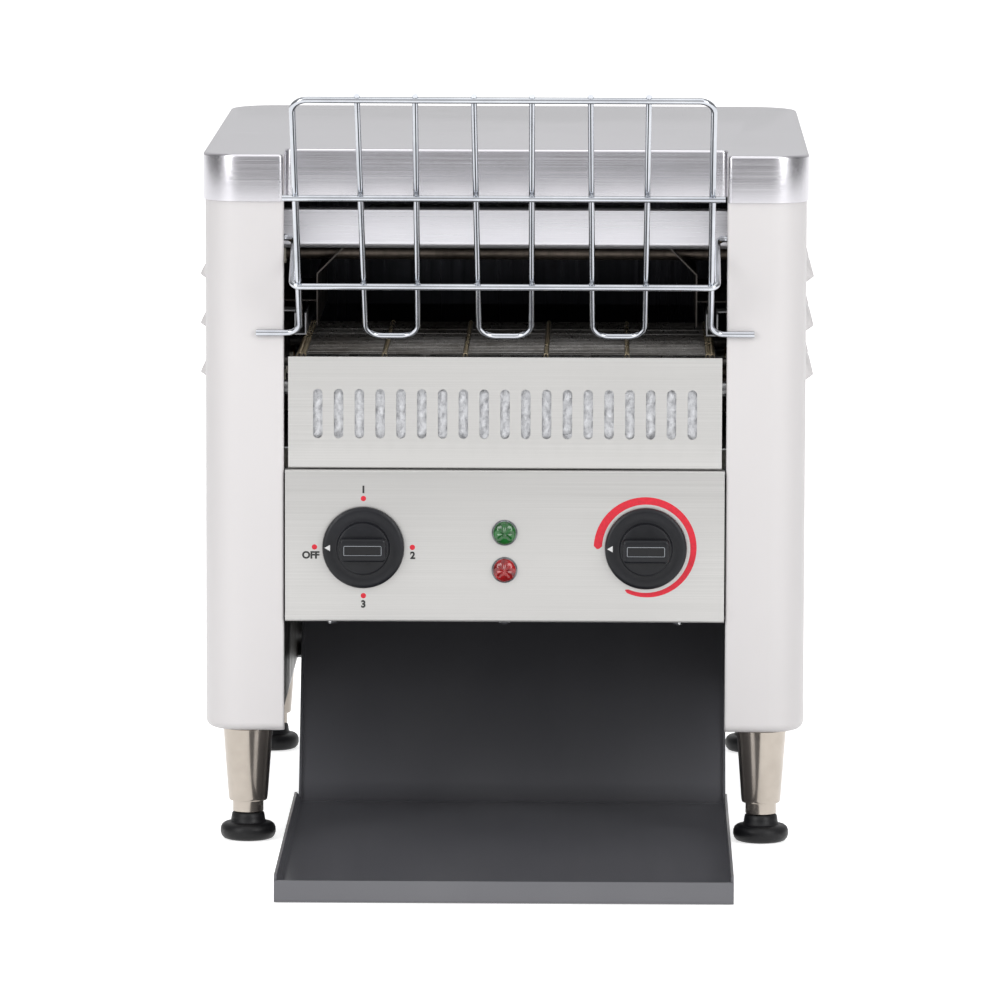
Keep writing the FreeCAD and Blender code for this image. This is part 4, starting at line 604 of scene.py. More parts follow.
# The loops' steel is paler than the wires' steel: a painted highlight where the loops catch the
# light.
BELT_LOOP_HIGHLIGHT = PlainSteel("belt_loop_painted_highlight_steel", "ece4d2", 0.3, shade="cfc4b0")
BRONZE = PlainSteel("sintered_bronze", "a98b5c", 0.4, shade="8a6f46")
ENAMEL = GlossEnamel("dark_grey_coating", "626266", 0.2, shade="5a5a5f")
KNOB_PLASTIC = MouldedPlastic("knob_plastic", "101115", 0.36, shade="17181d", grain=0.01)
BLACK_PLASTIC = MouldedPlastic("black_plastic", "121214", 0.45, shade="1b1b1e")
RUBBER = MouldedPlastic("foot_rubber", "0c0c0e", 0.42, shade="131316", grain=0.02)
MOTOR_PAINT = MouldedPlastic("motor_paint", "3b3d42", 0.45, shade="303238")
HEATER = HeatedMetal("element_tube", "6b625a", 0.4, shade="3b3530", metal=0.9)
CERAMIC = CeramicBody("ceramic_collars", "e6e0d3", 0.7)
WOOL = CeramicBody("mineral_wool", "d8d5cb", 0.9, shade="b9b5a8")
FOIL = CrumpledFoil("insulation_foil", "c9cacd", 0.5, shade="a3a4a8")
# The lenses' darker shade colours are painted shade for depth.
GREEN_LENS = LampLens("green_lamp_plastic", "146e26", 0.1, shade="093d12")
RED_LENS = LampLens("red_lamp_plastic", "b00d12", 0.1, shade="5e0407")
BLACK_INK = PrintedInk("black_ink", "161616", 0.5, shade="232323")
RED_INK = PrintedInk("red_ink", "dd1b33", 0.45, shade="c81a2f")
WHITE_INK = PrintedInk("white_ink", "ececec", 0.5, shade="d9d9d9")


# Making objects

def smoothed(mesh: bpy.types.Mesh, degrees: float) -> None:
    """Shades a mesh smooth apart from edges sharper than an angle."""
    mesh.polygons.foreach_set("use_smooth", np.ones(len(mesh.polygons), dtype=bool))
    mesh.set_sharp_from_angle(angle=math.radians(degrees))


def faced_away(patch: Patch, inside: Sequence[float]) -> Patch:
    """Turns a patch so that most of its area faces away from a point.

    The test is the sum over faces of the first corner's area vector times its offset.

    Args:
        patch: the patch, with faces wound the same way round.
        inside: a point in millimetres.

    Returns:
        The patch, turned if need be.
    """
    corners = np.array([face[:3] for face in patch.faces])
    first, second, third = (patch.points[corners[:, at]] for at in range(3))
    area = np.cross(second - first, third - first)
    if np.sum(area * (first - np.asarray(inside, float))) < 0:
        return Patch(patch.points, [face[::-1] for face in patch.faces])
    return patch


def make(name: str, patch: Patch, finish: Finish, body: str,
         nodes: Sequence[str] = (), inside: Sequence[float] | None = None,
         wall: float = 0.0, sharp: float = 32.0) -> bpy.types.Object:
    """Makes a finished object from a patch and lets it ride on a body.

    Args:
        name: object name.
        patch: its surface.
        finish: its finish.
        body: the body that it moves with.
        nodes: frame nodes that it stands for.
        inside: a point that an open sheet faces away from; closed pieces need none.
        wall: sheet thickness in millimetres, laid on the inner side.
        sharp: angle in degrees above which an edge stays sharp.

    Returns:
        The object, with its wall in its mesh.
    """
    if inside is not None and not wall:
        patch = faced_away(patch, inside)
    mesh = bpy.data.meshes.new(name)
    mesh.from_pydata(((patch.points + (0.0, FRONT, 0.0)) * MM).tolist(), [], patch.faces)
    solid = bmesh.new()
    solid.from_mesh(mesh)
    bmesh.ops.remove_doubles(solid, verts=solid.verts, dist=2e-6)
    bmesh.ops.dissolve_degenerate(solid, edges=solid.edges, dist=1e-6)
    if inside is None or wall:
        bmesh.ops.recalc_face_normals(solid, faces=solid.faces)
    if inside is not None and wall:
        core = Vector(inside) * MM + Vector((0.0, FRONT * MM, 0.0))
        facing = sum((face.calc_center_median() - core).dot(face.normal) * face.calc_area()
                     for face in solid.faces)
        if facing < 0:
            bmesh.ops.reverse_faces(solid, faces=solid.faces)
    solid.to_mesh(mesh)
    solid.free()
    piece = bpy.data.objects.new(name, mesh)
    bpy.context.scene.collection.objects.link(piece)
    if wall:
        sheet = piece.modifiers.new("wall", "SOLIDIFY")
        sheet.thickness = wall * MM
        sheet.offset = -1.0
        sheet.use_even_offset = True
        graph = bpy.context.evaluated_depsgraph_get()
        finished = bpy.data.meshes.new_from_object(piece.evaluated_get(graph))
        piece.modifiers.clear()
        piece.data = finished
    smoothed(piece.data, sharp)
    piece.data.materials.clear()
    piece.data.materials.append(finish.material())
    if nodes:
        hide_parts(*nodes)
    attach(piece, body)
    LOG.info("%s: %d faces, rides on %s", name, len(piece.data.polygons), body)
    return piece


# Casing

@dataclass
class TopCover:
    """Cover with a skirt all round and a recess between its front ends."""

    half_width: float = 179.2
    front: float = -1.2
    rear: float = 388.2
    recess_half: float = OPENING_HALF
    recess_depth: float = 42.0
    foot: float = 383.0
    top: float = 411.0
    edge: float = 2.0
    front_radius: float = 23.2
    rear_radius: float = 30.2
    fold: float = 3.0
    sheet: float = 1.0

    def ring(self, inset: float, level: float) -> np.ndarray:
        """Outline moved inwards by an inset: corners move both ways, radii shrink or grow.

        Args:
            inset: distance inside the skirt.
            level: height above the table.

        Returns:
            The points of the outline.
        """
        w, r = self.half_width, self.recess_half
        corners = np.array([(-w, self.front), (-r, self.front), (-r, self.recess_depth),
                            (r, self.recess_depth), (r, self.front), (w, self.front),
                            (w, self.rear), (-w, self.rear)])
        shifts = np.array([(1, 1), (-1, 1), (-1, 1), (1, 1), (1, 1), (-1, 1), (-1, -1), (1, -1)])
        radii = np.array([self.front_radius, self.fold, self.fold, self.fold, self.fold,
                          self.front_radius, self.rear_radius, self.rear_radius])
        growth = np.array([-1, -1, 1, 1, -1, -1, -1, -1])
        path = rounded_path(corners + shifts * inset, radii + growth * inset, True, 10)
        return np.column_stack([path, np.full(len(path), level)])

    def build(self) -> None:
        """Makes the skirt, its rounded upper edge and the flat top as one sheet."""
        turn = np.linspace(0, math.pi / 2, 6)
        insets = np.concatenate([[0.0, 0.0], self.edge * (1 - np.cos(turn[1:]))])
        levels = np.concatenate([[self.foot, self.top - self.edge],
                                 self.top - self.edge + self.edge * np.sin(turn[1:])])
        rings = np.array([self.ring(inset, level) for inset, level in zip(insets, levels)])
        patch = surface(rings, wrap=True)
        last = len(rings) - 1
        columns = rings.shape[1]
        patch.faces.append(tuple(range(last * columns, (last + 1) * columns)))
        make("top_cover_sheet", patch, COVER_STEEL, "casing", ["top_cover"],
             inside=(0, 200, 380), wall=self.sheet)


@dataclass
class SidePanel:
    """Painted shell of one side: pillar front, side with louvres and part of the back."""

    inner: float = OPENING_HALF
    face: float = 178.0
    depth: float = 387.0
    foot: float = CASING_FOOT
    top: float = 409.7
    front_radius: float = 22.0
    rear_radius: float = 29.0
    bottom_radius: float = 5.0
    flange: float = 9.0
    rear_edge: float = 138.0
    hem: float = 5.0
    pillar_edge: float = 1.3
    arc_steps: int = 12
    sheet: float = 1.2
    louvre_starts: tuple[float, ...] = (75.0, 205.0)
    louvre_length: float = 103.0
    louvre_levels: tuple[float, ...] = (273.0, 302.5, 332.0)
    louvre_reach: float = 5.95
    louvre_slope: float = 10.0
    louvre_lip: float = 4.0
    louvre_end: float = 6.0

    def columns(self, inset: float, places: np.ndarray) -> np.ndarray:
        """Plan of the panel from hem to rear edge, moved inwards by an inset.

        Args:
            inset: distance inside the outer face.
            places: extra points along the flat side.

        Returns:
            X and Y of each column.
        """
        corners = np.array([(self.inner, self.hem), (self.inner, 0), (self.face, 0),
                            (self.face, self.depth), (self.rear_edge, self.depth)], float)
        shifts = np.array([(0, 1), (0, 1), (-1, 1), (-1, -1), (0, -1)])
        radii = np.array([0, self.pillar_edge, self.front_radius - inset,
                          self.rear_radius - inset, 0])
        path = rounded_path(corners + shifts * inset, radii, steps=self.arc_steps)
        middle = 1 + 2 * (self.arc_steps + 1)
        side = np.column_stack([np.full(len(places), self.face - inset), places])
        return np.vstack([path[:middle], side, path[middle:]])

    def bulge(self, y: np.ndarray) -> np.ndarray:
        """Share of full reach along a louvre: 1 in its length, quarter ellipses at its ends."""
        share = np.zeros_like(y)
        for start in self.louvre_starts:
            stop = start + self.louvre_length
            edge = np.clip(np.minimum(y - start, stop - y) / self.louvre_end, 0, 1)
            share = np.maximum(share, np.sqrt(1 - (1 - edge) ** 2))
        return share

    def patch(self) -> Patch:
        """Surface of the right panel.

        A row at height z between a louvre's lip and its upper end moves out by
        reach * bulge(y) * (1 - t ** 1.5), where t is the row's share of the slope.
        """
        ends = np.array([0, 0.15, 0.6, 1.4, 2.6, 4.2, self.louvre_end])
        places = np.concatenate([
            np.concatenate([start + ends, start + self.louvre_length / 2 + np.zeros(1),
                            start + self.louvre_length - ends[::-1]])
            for start in self.louvre_starts])
        turn = np.linspace(0, math.pi / 2, 7)
        insets = [self.flange, *(self.bottom_radius * (1 - np.sin(turn)))]
        levels = [self.foot, *(self.foot + self.bottom_radius * (1 - np.cos(turn)))]
        rises = [0.0] * len(levels)
        openings = []
        slope = np.array([0, 0.12, 0.3, 0.5, 0.7, 0.88, 1.0])
        for lip in self.louvre_levels:
            openings.append(len(levels))
            insets += [0.0] * (len(slope) + 1)
            levels += [lip - self.louvre_lip, *(lip + slope * self.louvre_slope)]
            rises += [0.0, *(1 - slope ** 1.5)]
        insets.append(0.0)
        levels.append(self.top)
        rises.append(0.0)
        plan = np.array([self.columns(inset, places) for inset in insets])
        rows, columns = plan.shape[:2]
        points = np.concatenate([plan, np.broadcast_to(np.array(levels)[:, None, None],
                                                       (rows, columns, 1))], axis=2)
        flat = np.isclose(points[..., 0], self.face)
        share = self.bulge(points[..., 1]) * flat
        points[..., 0] += self.louvre_reach * share * np.array(rises)[:, None]
        keep = np.ones((rows - 1, columns - 1), bool)
        full = share > 0.97
        for row in openings:
            keep[row] = ~(full[row, :-1] & full[row, 1:])
        return surface(points, keep=keep)

    def build(self) -> None:
        """Makes both panels."""
        right = self.patch()
        for name, patch, sign in (("right", right, 1), ("left", right.mirrored(), -1)):
            make(f"side_panel_{name}_shell", patch, PAINT, "casing",
                 [f"side_panel_{name}"], inside=(150 * sign, 195, 240), wall=self.sheet, sharp=38)


@dataclass
class NoseGuard:
    """Bright guard above the feed opening, rolled at its top and bottom."""

    half: float = 134.2
    front: float = 46.0
    depth: float = 15.0
    foot: float = 351.0
    top: float = 374.5
    upper_fold: float = 1.4
    lower_roll: float = 4.5
    sheet: float = 0.8

    def build(self) -> None:
        """Makes the guard: a rolled profile carried across the machine."""
        rear = self.front + self.depth
        profile = rounded_path([(rear, self.top), (self.front, self.top), (self.front, self.foot),
                                (rear, self.foot)], (0, self.upper_fold, self.lower_roll, 0),
                               steps=10)
        sheet = carried_across(profile, (-self.half, self.half))
        make("nose_guard_sheet", sheet, NOSE_STEEL, "casing",
             ["nose_guard"], inside=(0, 56, 362), wall=self.sheet)


# Front panels and controls

@dataclass
class SlottedPanel:
    """Bright panel below the belt with round-ended slots and foil behind them."""

    half: float = 128.2
    front: float = 0.5
    foot: float = 224.7
    top: float = 291.0
    slots: int = 19
    pitch: float = 12.3
    width: float = 5.6
    slot_foot: float = 242.5
    slot_height: float = 29.4
    fold: float = 1.2
    depth: float = 5.0
    sheet: float = 1.2
    foil_half: float = 126.6
    foil_foot: float = 236.4
    foil_top: float = 288.0
    foil_face: float = 3.0
    foil_back: float = 5.2
    foil_grid: tuple[int, int] = (170, 36)
    wrinkle: float = 0.3

    def cell(self, centre: float) -> Patch:
        """One slot in its strip: a ring from the slot's outline to the strip's outline.

        A point of the outline at an angle round an end's centre is joined to the point where
        the same angle meets the strip's rectangle.

        Args:
            centre: the slot's place across.

        Returns:
            The patch between the two outlines.
        """
        end = self.width / 2
        high = self.slot_foot + self.slot_height - end
        low = self.slot_foot + end
        half = self.pitch / 2
        parts = []
        for level, reach, sign in ((high, self.top - high, 1),
                                   (low, low - self.foot - self.fold, -1)):
            corner = math.atan2(reach, half)
            angle = np.concatenate([np.linspace(0, corner, 5),
                                    np.linspace(corner, math.pi - corner, 7)[1:],
                                    np.linspace(math.pi - corner, math.pi, 5)[1:]])
            heading = np.column_stack([np.cos(angle), np.sin(angle)])
            scale = np.minimum(half / np.maximum(np.abs(heading[:, 0]), 1e-9),
                               reach / np.maximum(np.abs(heading[:, 1]), 1e-9))
            for size in (np.full(len(angle), end), scale):
                spot = heading * size[:, None] * (sign, sign)
                parts.append(np.column_stack([spot[:, 0] + centre, np.full(len(spot), self.front),
                                              spot[:, 1] + level]))
        inner = np.vstack([parts[0], parts[2]])
        outer = np.vstack([parts[1], parts[3]])
        return surface(np.array([inner, outer]), wrap=True)

    def build(self) -> None:
        """Makes the panel with its folded foot and the wrinkled foil behind it."""
        first = -self.pitch * (self.slots - 1) / 2
        cells = [self.cell(first + self.pitch * count) for count in range(self.slots)]
        border = np.vstack([cell.points for cell in cells])
        edge = border[:, 0].max()
        levels = np.unique(np.round(border[np.isclose(border[:, 0], edge), 2], 6))
        for low, high in ((-self.half, -edge), (edge, self.half)):
            x, z = np.meshgrid([low, high], levels)
            cells.append(surface(np.stack([x, np.full_like(x, self.front), z], axis=-1)))
        foot = self.foot + self.fold
        across = np.unique(np.round(np.concatenate(
            [border[np.isclose(border[:, 2], foot), 0], [-self.half, self.half]]), 6))
        fold = rounded_path([(self.front, foot), (self.front, self.foot), (self.depth, self.foot)],
                            self.fold, steps=5)[1:]
        x, y = np.meshgrid(across, fold[:, 0])
        z = np.meshgrid(across, fold[:, 1])[1]
        cells.append(surface(np.stack([x, y, z], axis=-1)))
        make("slotted_panel_sheet", joined(cells), FACE_STEEL, "casing",
             ["slotted_front_panel"], inside=(0, 60, 262), wall=self.sheet)
        self.foil()

    def foil(self) -> None:
        """Makes the foil: a flat back, and a face pushed in and out by crossed waves."""
        columns, rows = self.foil_grid
        x, z = np.meshgrid(np.linspace(-self.foil_half, self.foil_half, columns),
                           np.linspace(self.foil_foot, self.foil_top, rows))
        waves = (np.sin(x * 0.61 + np.sin(z * 0.37) * 2.1) + np.sin(x * 0.23 - z * 0.71)
                 + np.sin(x * 1.37 + z * 0.93) * 0.6 + np.sin(z * 1.9 - x * 0.4) * 0.5)
        faces = [surface(np.stack([x, y, z], axis=-1))
                 for y in (self.foil_face - self.wrinkle * waves, np.full_like(x, self.foil_back))]
        make("insulation_foil_face", joined(faces), FOIL, "casing",
             ["front_insulation"], inside=(0, 60, 262))


@dataclass
class ControlPanel:
    """Folded panel with its printed scales, lamps and lower screws."""

    half: float = 130.0
    foot: float = 133.5
    top: float = 224.0
    front: float = -2.0
    depth: float = 14.0
    fold: float = 1.4
    sheet: float = 1.5
    dot_reach: float = 29.0
    dot_radius: float = 1.6
    figure_height: float = 4.3
    arc_start: float = 181.0
    arc_stop: float = -116.0
    arc_points: int = 90
    arc_radii: tuple[float, float] = (25.9, 26.6)
    arc_widths: tuple[float, float] = (5.0, 2.2)
    arc_ends: float = 0.013
    lamp_levels: tuple[float, float] = (187.0, 164.8)
    lens_radius: float = 6.9
    lens_seat: float = 6.2
    lens_dome: float = 3.4
    facets: int = 8
    facet_depth: float = 0.22
    screw_side: float = 102.4
    screw_depth: float = 3.6

    def build(self) -> None:
        """Makes the panel, the prints, the lamps and the screws."""
        profile = rounded_path([(self.depth, self.foot), (self.front, self.foot),
                                (self.front, self.top), (self.depth, self.top)], self.fold, steps=6)
        sheet = carried_across(profile, (-self.half, self.half))
        make("control_panel_sheet", sheet, FACE_STEEL, "casing",
             ["control_panel"], inside=(0, 10, 180), wall=self.sheet)
        self.marks()
        self.lamps()
        self.screws()

    def marks(self) -> None:
        """Makes the dots and figures of the selector's scale and the browning scale."""
        selector = np.array([-KNOB_SIDE, KNOB_LEVEL])
        turns = np.radians([180, 90, 0, 270])
        spots = selector + self.dot_reach * np.column_stack([np.cos(turns), np.sin(turns)])
        face = self.front
        dots = [turned([(0, -INK), (self.dot_radius, -INK), (self.dot_radius, 0.0)],
                       (x, face, z), Axis.ALONG_Y, 20) for x, z in spots]
        make("selector_dots", joined(dots), RED_INK, "casing",
             inside=(selector[0], 20, selector[1]))
        shifts = ((-2.2, -5.0), (0.0, 5.2), (0.2, -5.0), (0.0, -5.2))
        for text, (x, z), (aside, up) in zip(("OFF", "1", "2", "3"), spots, shifts):
            lettering(f"selector_figure_{text}", text, self.figure_height,
                      (x + aside, face, z + up))
        self.arc()

    def arc(self) -> None:
        """Makes the arc of the browning scale.

        Its width falls from one end to the other, and both ends are rounded by quarter ellipses
        over a short share of its length.
        """
        start, stop = math.radians(self.arc_start), math.radians(self.arc_stop)
        share = np.linspace(0, 1, self.arc_points)
        angle = start + (stop - start) * share
        nearest = np.clip(np.minimum(share, 1 - share) / self.arc_ends, 0, 1)
        ends = np.sqrt(np.clip(1 - (1 - nearest) ** 2, 0, 1))
        full = self.arc_widths[0] * (1 - share) ** 0.8 + self.arc_widths[1] * share
        width = full * (0.25 + 0.75 * ends)
        near, far = self.arc_radii
        inner = near + (far - near) * share + (full - width) / 2
        ring = np.array([np.column_stack([KNOB_SIDE + radius * np.cos(angle),
                                          np.full(self.arc_points, self.front - INK),
                                          KNOB_LEVEL + radius * np.sin(angle)])
                         for radius in (inner, inner + width)])
        make("browning_arc", surface(ring), RED_INK, "casing",
             inside=(KNOB_SIDE, 20, KNOB_LEVEL))

    def lamps(self) -> None:
        """Makes two domed lenses in bright bezels.

        A dome's height has waves round it whose depth is 4 * r * (1 - r) at the share r of the
        seat's radius, so its middle and its rim stay even.
        """
        seat = self.lens_seat
        dome = [(self.lens_radius * math.cos(turn), -1.5 - self.lens_dome * math.sin(turn))
                for turn in np.linspace(0, math.pi / 2, 9)]
        rim = [(6.25, 0.2), (6.25, -1.2), (6.5, -1.7), (7.0, -1.78), (7.45, -1.4), (7.65, -0.8),
               (7.65, 0.2), (6.25, 0.2)]
        kinds = (("power_lamp", GREEN_LENS, "green_lens"), ("heat_lamp", RED_LENS, "red_lens"))
        bezels = []
        for (name, finish, slot), level in zip(kinds, self.lamp_levels):
            centre = (0, self.front, level)
            lens = turned([(0, 0.4), (seat, 0.4), (seat, -1.2)] + dome, centre, Axis.ALONG_Y)
            angle = np.arctan2(lens.points[:, 2] - level, lens.points[:, 0])
            reach = np.hypot(lens.points[:, 2] - level, lens.points[:, 0]) / seat
            lens.points[:, 1] += (self.facet_depth * np.cos(angle * self.facets)
                                  * reach * (1 - reach) * 4)
            make(f"{name}_lens", lens, finish, "casing", [name])
            bezels.append(turned(rim, centre, Axis.ALONG_Y))
        make("lamp_bezel_rings", joined(bezels), BEZEL, "casing", ["lamp_bezels"])

    def screws(self) -> None:
        """Makes the round heads under the panel's lower fold."""
        head = [(0, -2.0), (1.4, -1.9), (2.6, -1.4), (3.4, -0.6), (3.6, 0.0), (0, 0.0)]
        heads = [turned(head, (x, self.screw_depth, self.foot), sides=24)
                 for x in (-self.screw_side, 0.0, self.screw_side)]
        make("control_panel_screw_heads", joined(heads), FASTENER, "casing",
             ["control_panel_screws"])


def lettering(name: str, text: str, height: float, place: Sequence[float]) -> None:
    """Makes a printed figure on the control panel, a little bolder than the plain face.

    Args:
        name: object name.
        text: its characters.
        height: height of a capital in millimetres.
        place: centre of the figure.
    """
    curve = bpy.data.curves.new(name, "FONT")
    curve.body = text
    curve.align_x = "CENTER"
    curve.align_y = "CENTER"
    curve.size = height * LETTER_SIZE
    curve.offset = height * LETTER_WEIGHT
    curve.resolution_u = 4
    holder = bpy.data.objects.new(name, curve)
    bpy.context.scene.collection.objects.link(holder)
    graph = bpy.context.evaluated_depsgraph_get()
    flat = bpy.data.meshes.new_from_object(holder.evaluated_get(graph))
    bpy.data.objects.remove(holder)
    spots = np.zeros(len(flat.vertices) * 3)
    flat.vertices.foreach_get("co", spots)
    spots = spots.reshape(-1, 3)
    points = np.column_stack([spots[:, 0] + place[0], np.full(len(spots), place[1] - INK),
                              spots[:, 1] + place[2]])
    faces = [tuple(polygon.vertices) for polygon in flat.polygons]
    make(name, Patch(points, faces), BLACK_INK, "casing",
         inside=(place[0], 40, place[2]))


@dataclass
class Knob:
    """Round knob with a dished rim, a boss, a grip bar and a framed insert."""

    name: str
    body: str
    x: float
    z: float = KNOB_LEVEL
    back: float = -3.0
    grip_reach: float = 16.6
    pointer_tip: float = -22.9
    pointer_base: float = -19.6
    pointer_half: float = 1.9
    pointer_lift: float = 3.62

    def build(self) -> None:
        """Makes the moulding, its insert, the insert's frame and the pointer."""
        rim = [(0, 0.0), (23.7, 0.0), (24.25, -0.5), (24.25, -1.6), (23.9, -2.6), (23.0, -3.25),
               (21.5, -3.55), (19.0, -3.3), (16.6, -3.2), (15.9, -3.4), (15.6, -3.9), (15.45, -7.6),
               (15.1, -8.3), (14.3, -8.6), (0, -8.6)]
        disc = turned(rim, (self.x, self.back, self.z), Axis.ALONG_Y, 96)
        face = self.back - self.grip_reach
        loops = [(13.75, 6.9, 2.2, self.back - 8.0), (13.7, 6.85, 2.2, face + 1.6),
                 (13.5, 6.65, 2.1, face + 0.7), (13.0, 6.15, 1.9, face + 0.2),
                 (12.4, 5.5, 1.6, face), (11.35, 3.1, 0.7, face), (11.3, 3.05, 0.7, face + 0.5)]
        grip = surface(np.array([oblong(*loop, self.x, self.z) for loop in loops]), wrap=True,
                       caps=True)
        make(f"{self.name}_moulding", joined([disc, grip]), KNOB_PLASTIC, self.body,
             [self.name], sharp=28)
        self.insert(face)
        level = self.back - self.pointer_lift
        points = np.array([(self.pointer_tip, level, 0.0),
                           (self.pointer_base, level, self.pointer_half),
                           (self.pointer_base, level, -self.pointer_half)]) + (self.x, 0.0, self.z)
        make(f"{self.name}_pointer", Patch(points, [(0, 1, 2)]), WHITE_INK, self.body,
             inside=(self.x, 20, self.z))

    def insert(self, face: float) -> None:
        """Makes the dark plate of the insert and the bright frame round it.

        Args:
            face: place of the grip's face.
        """
        outer = (11.2, 2.95, 0.6)
        plate = np.array([oblong(*outer, face + lift, self.x, self.z) for lift in (0.5, 0.15)])
        make(f"{self.name}_insert_plate", surface(plate, wrap=True, caps=True), BLACK_PLASTIC,
             self.body, [f"{self.name}_insert"])
        loops = [(*outer, face + 0.3), (*outer, face - 0.1), (11.1, 2.85, 0.5, face - 0.19),
                 (10.85, 2.6, 0.4, face - 0.19), (10.75, 2.5, 0.3, face - 0.05),
                 (10.75, 2.5, 0.3, face + 0.3)]
        ring = surface(np.array([oblong(*loop, self.x, self.z) for loop in loops]), wrap=True)
        make(f"{self.name}_insert_frame", ring, BEZEL, self.body,
             inside=(self.x, 20, self.z))


# Wire rack

@dataclass
class LoadingRack:
    """Leaning rack: frame wire, cross rods with arms, three loops and weld beads."""

    wire: float = 1.9
    grid: float = 1.75
    angle: float = 50.5
    foot_y: float = -2.2
    foot_z: float = 305.4
    half: float = 121.0
    foot_end: float = 147.0
    length: float = 190.0
    corner: float = 8.5
    middle: float = 113.5
    middle_half: float = 128.5
    lower: float = 41.0
    arm: float = 124.8
    pivot: tuple[float, float] = (8.0, 361.0)
    pivot_end: float = 139.0
    spacing: float = 67.0
    width: float = 32.2
    bend: float = 10.0
    drop: float = 3.2
    taper: float = 0.6
    stub: float = 2.5
    bed: float = -1.0
    weld: float = 0.3
    arm_bend: float = 5.0
    bead: tuple[float, float] = (2.0, 1.9)

    def spot(self, x: float, along: float, out: float = 0.0) -> tuple[float, float, float]:
        """Point of the rack: across, up its slope from the feet, and out of its plane."""
        turn = math.radians(self.angle)
        return (x, self.foot_y - along * math.cos(turn) - out * math.sin(turn),
                self.foot_z + along * math.sin(turn) - out * math.cos(turn))

    def build(self) -> None:
        """Makes all the wires as one welded piece."""
        turn = math.radians(self.angle)
        normal = (0.0, -math.sin(turn), -math.cos(turn))
        h, e, top = self.half, self.foot_end, self.length
        outline = [self.spot(-e, 0), self.spot(-h, 0), self.spot(-h, top), self.spot(h, top),
                   self.spot(h, 0), self.spot(e, 0)]
        bars = [tube(rounded_path(outline, self.corner, steps=14), self.wire, normal, 16)]
        bed = self.bed
        out = bed + self.wire + self.grid - self.weld
        rod = np.linspace(self.spot(-self.middle_half, self.middle, out),
                          self.spot(self.middle_half, self.middle, out), 3)
        bars.append(tube(rod, self.wire, normal, 16))
        low_left = self.spot(-self.arm, self.lower, out)
        low_right = self.spot(self.arm, self.lower, out)
        y, z = self.pivot
        corners = [(-self.pivot_end, y, z), (-self.arm, y, z), low_left, low_right,
                   (self.arm, y, z), (self.pivot_end, y, z)]
        lean = unit(np.cross((1.0, 0.0, 0.0), np.array([0.0, low_left[1] - y, low_left[2] - z])))
        bars.append(tube(rounded_path(corners, self.arm_bend, steps=10), self.wire, lean, 16))
        beads = []
        for x in (-self.half, self.half):
            beads += [(x, along, out / 2) for along in (self.middle, self.lower)]
        for centre in (-self.spacing, 0.0, self.spacing):
            left, right = centre - self.width / 2, centre + self.width / 2
            loop = [self.spot(left - self.taper, top + self.stub, bed),
                    self.spot(left + self.taper, -self.drop, bed),
                    self.spot(right - self.taper, -self.drop, bed),
                    self.spot(right + self.taper, top + self.stub, bed)]
            bars.append(tube(rounded_path(loop, self.bend, steps=14), self.grid, normal, 14))
            for x in (left, right):
                beads += [(x, along, bed + self.grid) for along in (self.middle, self.lower)]
                beads.append((x, top, bed / 2))
        radius, height = self.bead
        profile = [(0, -height), (1.4, -1.35), (radius, 0.0), (1.4, 1.35), (0, height)]
        bars += [turned(profile, self.spot(*bead), sides=10) for bead in beads]
        make("loading_rack_wires", joined(bars), CHROME, "rack", ["loading_rack"],
             sharp=60)


# Belt

